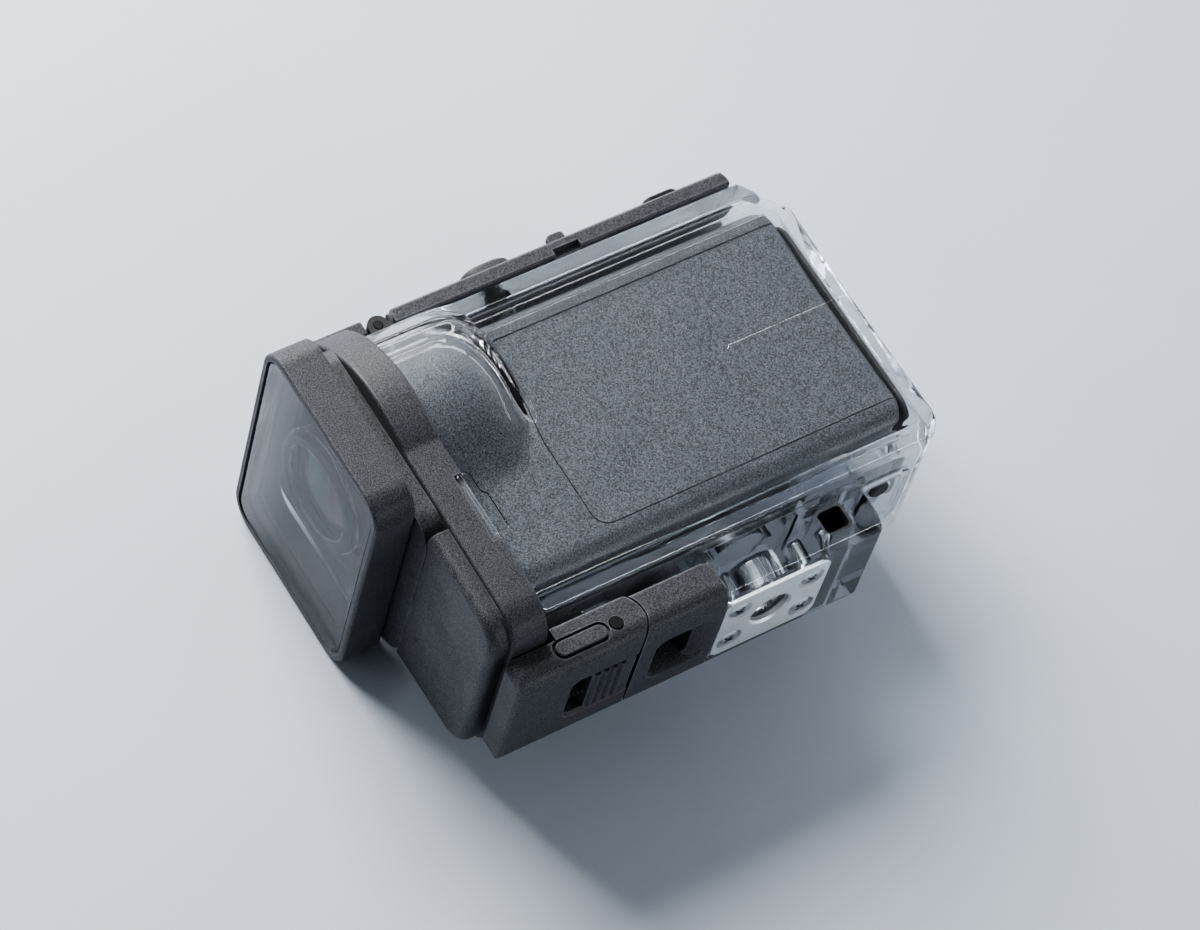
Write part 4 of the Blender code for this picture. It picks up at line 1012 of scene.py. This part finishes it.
def optics():
    centre = (0, 0, LENS_Z)
    barrel = [(9.0, 16.9), (BARREL_R, 16.9), (BARREL_R, 5.7), (BARREL_R - 0.15, 5.35),
              (BARREL_R - 0.5, 5.2), (9.6, 5.2), (9.3, 5.5), (9.0, 6.2)]
    finish(turned("barrel", barrel, "y", centre, 96), "lens_barrel")
    ring = [(8.6, 4.95), (8.6, 4.75), (9.1, 4.3), (9.4, 4.22), (10.2, 4.22), (10.55, 4.4),
            (10.7, 4.7), (10.7, 4.95)]
    finish(turned("trim_ring", ring, "y", centre, 96), "lens_ring")
    dome = [(8.2 * math.sin(math.radians(a)), 5.0 + 3.2 * (1 - math.cos(math.radians(a))))
            for a in range(0, 91, 9)]
    front = [(0, 9.4), (8.2, 9.4)] + list(reversed(dome))
    finish(turned("objective", front, "y", centre, 72), "front_lens", flat_normals=False)
    for name, radius, y in (("inner_lens_line", 8.45, 4.55), ("outer_lens_line", 10.95, 5.6)):
        line = [(radius, y), (radius + 0.16, y), (radius + 0.16, y + 0.5), (radius, y + 0.5)]
        finish(turned(name, line, "y", centre, 96), look="steel", body="housing")
    steps = [(8.25, 9.3), (8.9, 9.3), (8.9, 6.6), (8.55, 6.6), (8.55, 7.6), (8.25, 7.9)]
    finish(turned("inner_bezel", steps, "y", centre, 96), look="lens_black", body="housing")


# ---- base ----

def base_slab(name, y0, y1, z1, corner=BASE_EDGE_R):
    right = arc(BASE_HALF_W - corner, BASE_BOTTOM + corner, corner, -90, 0, 8)
    right += arc(BASE_HALF_W - 0.5, z1 - 0.5, 0.5, 0, 90, 3)
    return prism(name, mirrored(right), "y", y0, y1)


def buckle_side_outline():
    """A square front, a step under the lid, and a rear end that is round about the pin."""
    front_r, top_r = 1.0, 1.6
    step_y, step_z = 19.6, LID_BOTTOM - 0.4
    pin_y, pin_z = BUCKLE_PIN[1:]
    outline = arc(BUCKLE_FRONT + front_r, BASE_BOTTOM + front_r, front_r, 180, 270, 8)
    low = math.degrees(math.asin((BASE_BOTTOM - pin_z) / BUCKLE_END_R))
    turn = math.asin((BUCKLE_TOP - top_r - pin_z) / (BUCKLE_END_R - top_r))
    corner_y = pin_y + (BUCKLE_END_R - top_r) * math.cos(turn)
    turn = math.degrees(turn)
    outline += arc(pin_y, pin_z, BUCKLE_END_R, low, turn, 24)
    outline += arc(corner_y, BUCKLE_TOP - top_r, top_r, turn, 90, 8)[1:]
    return outline + [(step_y, BUCKLE_TOP), (step_y, step_z), (BUCKLE_FRONT + 0.9, step_z),
                      (BUCKLE_FRONT, step_z - 0.9)]


def buckle():
    body = base_slab("buckle_body", BUCKLE_FRONT, BUCKLE_PIN[1] + BUCKLE_END_R + 1, BUCKLE_TOP)
    keep_common(body, prism("buckle_keep", buckle_side_outline(), "x", -20, 20))
    plan = rounded_rect(-BASE_HALF_W, BASE_HALF_W, BUCKLE_FRONT, 60.0, 1.3)
    keep_common(body, prism("plan_keep", plan, "z", -40, -10))
    soften(body, 0.4, 4, 45)
    cut(body, rod("pin_hole", "x", BUCKLE_PIN, 1.25, -20, 20, 40))
    cut(body, *[box("lug_room", *sorted((sign * 6.2, sign * 9.8)), 26.8, 40, -30.3, -20)
                for sign in (-1, 1)])
    room = rounded_rect(-5.7, 5.7, 21.2, 40.0, 1.6, 8)
    mouth = rounded_rect(-6.4, 6.4, 20.5, 40.7, 2.3, 8)
    cut(body, prism("slider_room", room, "z", -33, SLIDER_TOP + 0.3))
    cut(body, prism("slider_mouth", mouth, "z", BASE_BOTTOM - 0.3, BASE_BOTTOM + 0.6, top=room))
    seats = []
    for sign in (-1, 1):
        near, far = sorted((sign * 11.8, sign * 14))
        seats.append(prism("insert_room", rounded_rect(18.1, 28.5, -29.3, -25.7, 1.75, 10), "x",
                           near, far))
    cut(body, *seats)
    finish(body, "buckle")
    for hand, sign in HANDS:
        near, far = sorted((sign * 12.0, sign * 12.72))
        pad = rounded_rect(18.6, 28.0, -28.8, -26.2, 1.29, 10)
        finish(prism(f"side_pad_{hand}", pad, "x", near, far, 0.3, 4), f"buckle_insert_{hand}")


def lock_slider():
    """Four smooth broad ribs, then a flat."""
    ribs, pitch, base_z = 4, 1.6, SLIDER_BOTTOM + 0.5
    outline = [(SLIDER_FRONT, SLIDER_TOP), (SLIDER_FRONT, base_z)]
    for i in range(ribs):
        y = SLIDER_FRONT + 0.35 + i * pitch
        outline += [(y + 1.25 * t, base_z - 0.5 * math.sin(math.pi * t) ** 0.8)
                    for t in (0.0, 0.12, 0.25, 0.4, 0.55, 0.7, 0.85, 1.0)]
    outline += [(SLIDER_REAR, base_z), (SLIDER_REAR, SLIDER_TOP)]
    finish(prism("ribbed_slider", outline, "x", -5.3, 5.3), "lock_slider")


def latch():
    block = base_slab("latch_body", LATCH_FRONT - 0.5, LATCH_REAR, LATCH_TOP)
    side = [(LATCH_FRONT - 2, -40), (LATCH_REAR, -40)]
    side += arc(LATCH_REAR - LATCH_CORNER_R, LATCH_TOP - LATCH_CORNER_R, LATCH_CORNER_R, 0, 90, 10)
    side += [(LATCH_FRONT - 2, LATCH_TOP)]
    keep_common(block, prism("latch_keep", side, "x", -20, 20))
    cut(block, rod("buckle_sweep", "x", BUCKLE_PIN, BUCKLE_SWEEP_R, -20, 20, 128))
    soften(block, 0.35, 4, 50)
    pocket = rounded_rect(-5.3, 5.3, 37.6, 45.6, 1.2, 6)
    mouth = rounded_rect(-6.2, 6.2, 36.9, 48.4, 2.4, 6)
    cut(block, prism("finger_pocket", pocket, "z", -33, -25.6))
    cut(block, prism("pocket_mouth", mouth, "z", BASE_BOTTOM - 0.01, BASE_BOTTOM + 1.6, top=pocket))
    finish(block, "latch_block")


def base_block():
    block = base_slab("mount_block", LATCH_REAR + 0.3, BLOCK_REAR, SHELL_BOTTOM - 0.3)
    soften(block, 0.5, 4, 50)
    for side in (-1, 1):
        near, far = sorted((side * 12.0, side * 16.3))
        ear = rounded_rect(67.5, BLOCK_REAR - 0.2, -24.6, -18.4, 0.9, 5)
        ear = prism("ear", ear, "x", near, far, 0.35, 3)
        slot = box("ear_slot", *sorted((side * 12.6, side * 15.95)), 60, 90, -22.3, -15)
        cut(ear, slot)
        join(block, ear)
    seat = rounded_rect(-9.0, 9.0, 45, 70.6, 2.3, 6)
    cut(block, prism("plate_seat", seat, "z", -33, -29.9))
    cut(block, rod("socket_room", "z", (0, SOCKET_Y, 0), 5.0, -32, -24.0, 64))
    cut(block, *[rod("screw_hole", "z", (x, y, 0), 1.3, -32, -25.0, 32) for x, y in screw_places()])
    strap = rounded_rect(69.9, 75.6, -29.0, -23.8, 1.2, 6)
    cut(block, prism("strap_slot", strap, "x", -20, 20))
    finish(block, "base_block")
    strap = rounded_rect(70.0, 75.5, -28.9, -23.9, 1.1, 6)
    sleeve = prism("strap_sleeve", strap, "x", -11.9, 11.9)
    hole = rounded_rect(70.5, 75.0, -28.4, -24.4, 0.8, 6)
    cut(sleeve, prism("sleeve_hole", hole, "x", -20, 20))
    finish(sleeve, look="black_rubber", body="housing")


def screw_places():
    return [(sx * SCREW_X, SOCKET_Y + sy * SCREW_DY) for sx in (-1, 1) for sy in (-1, 1)]


def tripod_mount():
    outline = rounded_rect(-8.7, 8.7, LATCH_REAR + 0.3, 70.3, 2.0, 8)
    plate = prism("mount_plate", outline, "z", -31.4, -30.2, 0.15, 3)
    cut(plate, rod("socket_hole", "z", (0, SOCKET_Y, 0), 3.7, -33, -29, 64))
    rim = turned("countersink", [(0, -32), (4.6, -32), (3.7, -31.0), (3.7, -30.0), (0, -30.0)], "z",
                 (0, SOCKET_Y, 0), 64)
    cut(plate, rim)
    cut(plate, *[rod("screw_hole", "z", (x, y, 0), 2.45, -33, -29, 40) for x, y in screw_places()])
    finish(plate, "tripod_plate")
    dome = [(3.1 * math.cos(math.radians(a)), -26.2 + 1.0 * math.sin(math.radians(a)))
            for a in (15, 30, 45, 60, 75)]
    thread = []
    for i in range(7):
        z = -29.7 + i * 0.5
        thread += [(3.1, z), (3.32, z + 0.25)]
    profile = [(0, -24.3), (3.9, -24.3), (3.9, -29.0), (4.7, -29.0), (4.7, -29.9)]
    profile += thread + [(3.1, -26.2)] + dome[1:] + [(0, -25.2)]
    finish(turned("threaded_insert", profile, "z", (0, SOCKET_Y, 0), 72), "tripod_socket")
    for i, (x, y) in enumerate(screw_places()):
        head = [(0, -25.3), (0.9, -25.3), (1.0, -25.5), (1.0, -30.3), (2.05, -30.3), (2.15, -30.45),
                (2.15, -30.8), (1.95, -31.1), (1.5, -31.33), (0.8, -31.43), (0, -31.45)]
        screw = turned(f"cross_screw_{i + 1}", head, "z", (x, y, 0), 40)
        turn = Matrix.Translation((x, y, 0)) @ Matrix.Rotation(math.radians(35), 4, "Z")
        for dx, dy in ((1.15, 0.24), (0.24, 1.15)):
            slot = prism("cross", [(-dx, -dy), (dx, -dy), (dx, dy), (-dx, dy)], "z", -32.0, -30.6)
            slot.data.transform(turn)
            cut(screw, slot)
        finish(screw, f"plate_screw_{i + 1}")


# ---- control panel on the right side ----

def control_panel():
    outline = rounded_rect(38.0, 88.0, -14.0, 28.0, 5.0, 12)
    panel = prism("right_panel", outline, "x", -HOOD_HALF_W, -SHELL_HALF_W - 0.3, 0.8, 5)
    window = rounded_rect(58.0, 83.0, 4.0, 23.0, 3.0, 8)
    mouth = rounded_rect(57.0, 84.0, 3.0, 24.0, 4.0, 8)
    cut(panel, prism("display_opening", window, "x", -30, -10))
    cut(panel, prism("display_mouth", mouth, "x", -HOOD_HALF_W - 0.01, -HOOD_HALF_W + 1.0, top=window))
    rooms = [rod("cap_room", "x", (0, y, SIDE_BUTTON_Z), 3.7, -30, -19.8, 56) for y in SIDE_BUTTON_YS]
    cut(panel, *rooms)
    shafts = [rod("shaft_room", "x", (0, y, SIDE_BUTTON_Z), 1.6, -22, -10, 32)
              for y in SIDE_BUTTON_YS]
    cut(panel, *shafts)
    finish(panel, "control_panel")
    for name, y in zip(("menu_button", "up_button", "down_button"), SIDE_BUTTON_YS):
        profile = [(0, -14.0), (1.3, -14.0), (1.3, -22.6), (3.4, -22.6), (3.4, -24.0), (3.3, -24.35),
                   (3.05, -24.6), (2.7, -24.7), (2.2, -24.68), (1.6, -24.55), (0, -24.45)]
        finish(turned(name + "_cap", profile, "x", (0, y, SIDE_BUTTON_Z), 56), name)


for build in (clear_shell, shell_lugs, shell_trim, camera_body, top_cover, shutter_button, cover_details,
              lid, lid_clips, hood, optics, buckle, lock_slider, latch, base_block,
              tripod_mount, control_panel):
    build()


# ---- studio ----

def studio():
    bpy.ops.mesh.primitive_grid_add(x_subdivisions=60, y_subdivisions=60, size=4.0)
    floor = bpy.context.object
    floor.name = "floor"
    floor.location.z = -0.0002
    floor.data.materials.append(plain("pale_floor", (0.60, 0.655, 0.74), (0.66, 0.715, 0.80),
                                      (0.55, 0.7), 12, 0.02))
    world = bpy.data.worlds.new("studio_sky")
    bpy.context.scene.world = world
    world.use_nodes = True
    tree = world.node_tree
    background = tree.nodes["Background"]
    split = node(tree, "ShaderNodeSeparateXYZ")
    link(node(tree, "ShaderNodeTexCoord").outputs["Generated"], split.inputs[0])
    height = ranged(tree, split.outputs["Z"], 0.05, 0.75, 0.0, 1.0)
    front = ranged(tree, split.outputs["Y"], -0.75, -0.1, 0.3, 1.0)
    beneath = ranged(tree, split.outputs["X"], 0.0, 0.75, 1.0, 0.3)
    sky = mixed(tree, height, (0.92, 0.95, 1.0), (0.34, 0.37, 0.42))
    link(sky, background.inputs["Color"])
    shade = math_node(tree, "MULTIPLY", front, beneath)
    link(math_node(tree, "MULTIPLY", shade, 0.5), background.inputs["Strength"])
    aim = TO_ROW @ Vector((0, 48, 5))
    for name, place, size, power, colour in (
            ("key_softbox", (-0.48, -0.08, 0.42), (0.36, 0.36), 8.5, (1.0, 0.99, 0.98)),
            ("front_softbox", (-0.42, -0.95, 0.44), (0.5, 0.1), 0.35, (0.97, 0.98, 1.0)),
            ("horizon_panel", (-1.05, 0.45, 0.30), (1.2, 0.13), 4.5, (0.95, 0.97, 1.0)),
            ("rear_strip", (-0.25, 1.05, 0.28), (0.9, 0.08), 1.2, (0.93, 0.96, 1.0)),
            ("side_strip", (0.85, 0.42, 0.36), (0.8, 0.08), 3.0, (0.93, 0.96, 1.0))):
        light = bpy.data.lights.new(name, "AREA")
        light.shape = "RECTANGLE"
        light.size, light.size_y = size
        light.energy = power
        light.color = colour
        lamp = bpy.data.objects.new(name, light)
        lamp.location = place
        lamp.rotation_euler = (aim - Vector(place)).to_track_quat("-Z", "Y").to_euler()
        bpy.context.scene.collection.objects.link(lamp)


def camera():
    data = bpy.data.cameras.new("view")
    data.sensor_width = 36.0
    data.lens = 142.03
    data.clip_start, data.clip_end = 0.01, 20.0
    eye = bpy.data.objects.new("view", data)
    right = Vector((0.5158, 0.8389, 0.1739)).normalized()
    back = Vector((0.3646, -0.3987, 0.8415)).normalized()
    up = back.cross(right).normalized()
    right = up.cross(back)
    turn = Matrix((right, up, back)).transposed().to_4x4()
    eye.matrix_world = Matrix.Translation(Vector((0.2858, -0.3113, 0.6821))) @ turn
    bpy.context.scene.collection.objects.link(eye)
    bpy.context.scene.camera = eye


studio()
camera()
bpy.context.scene.view_settings.view_transform = "AgX"
bpy.context.scene.view_settings.look = "AgX - Medium High Contrast"
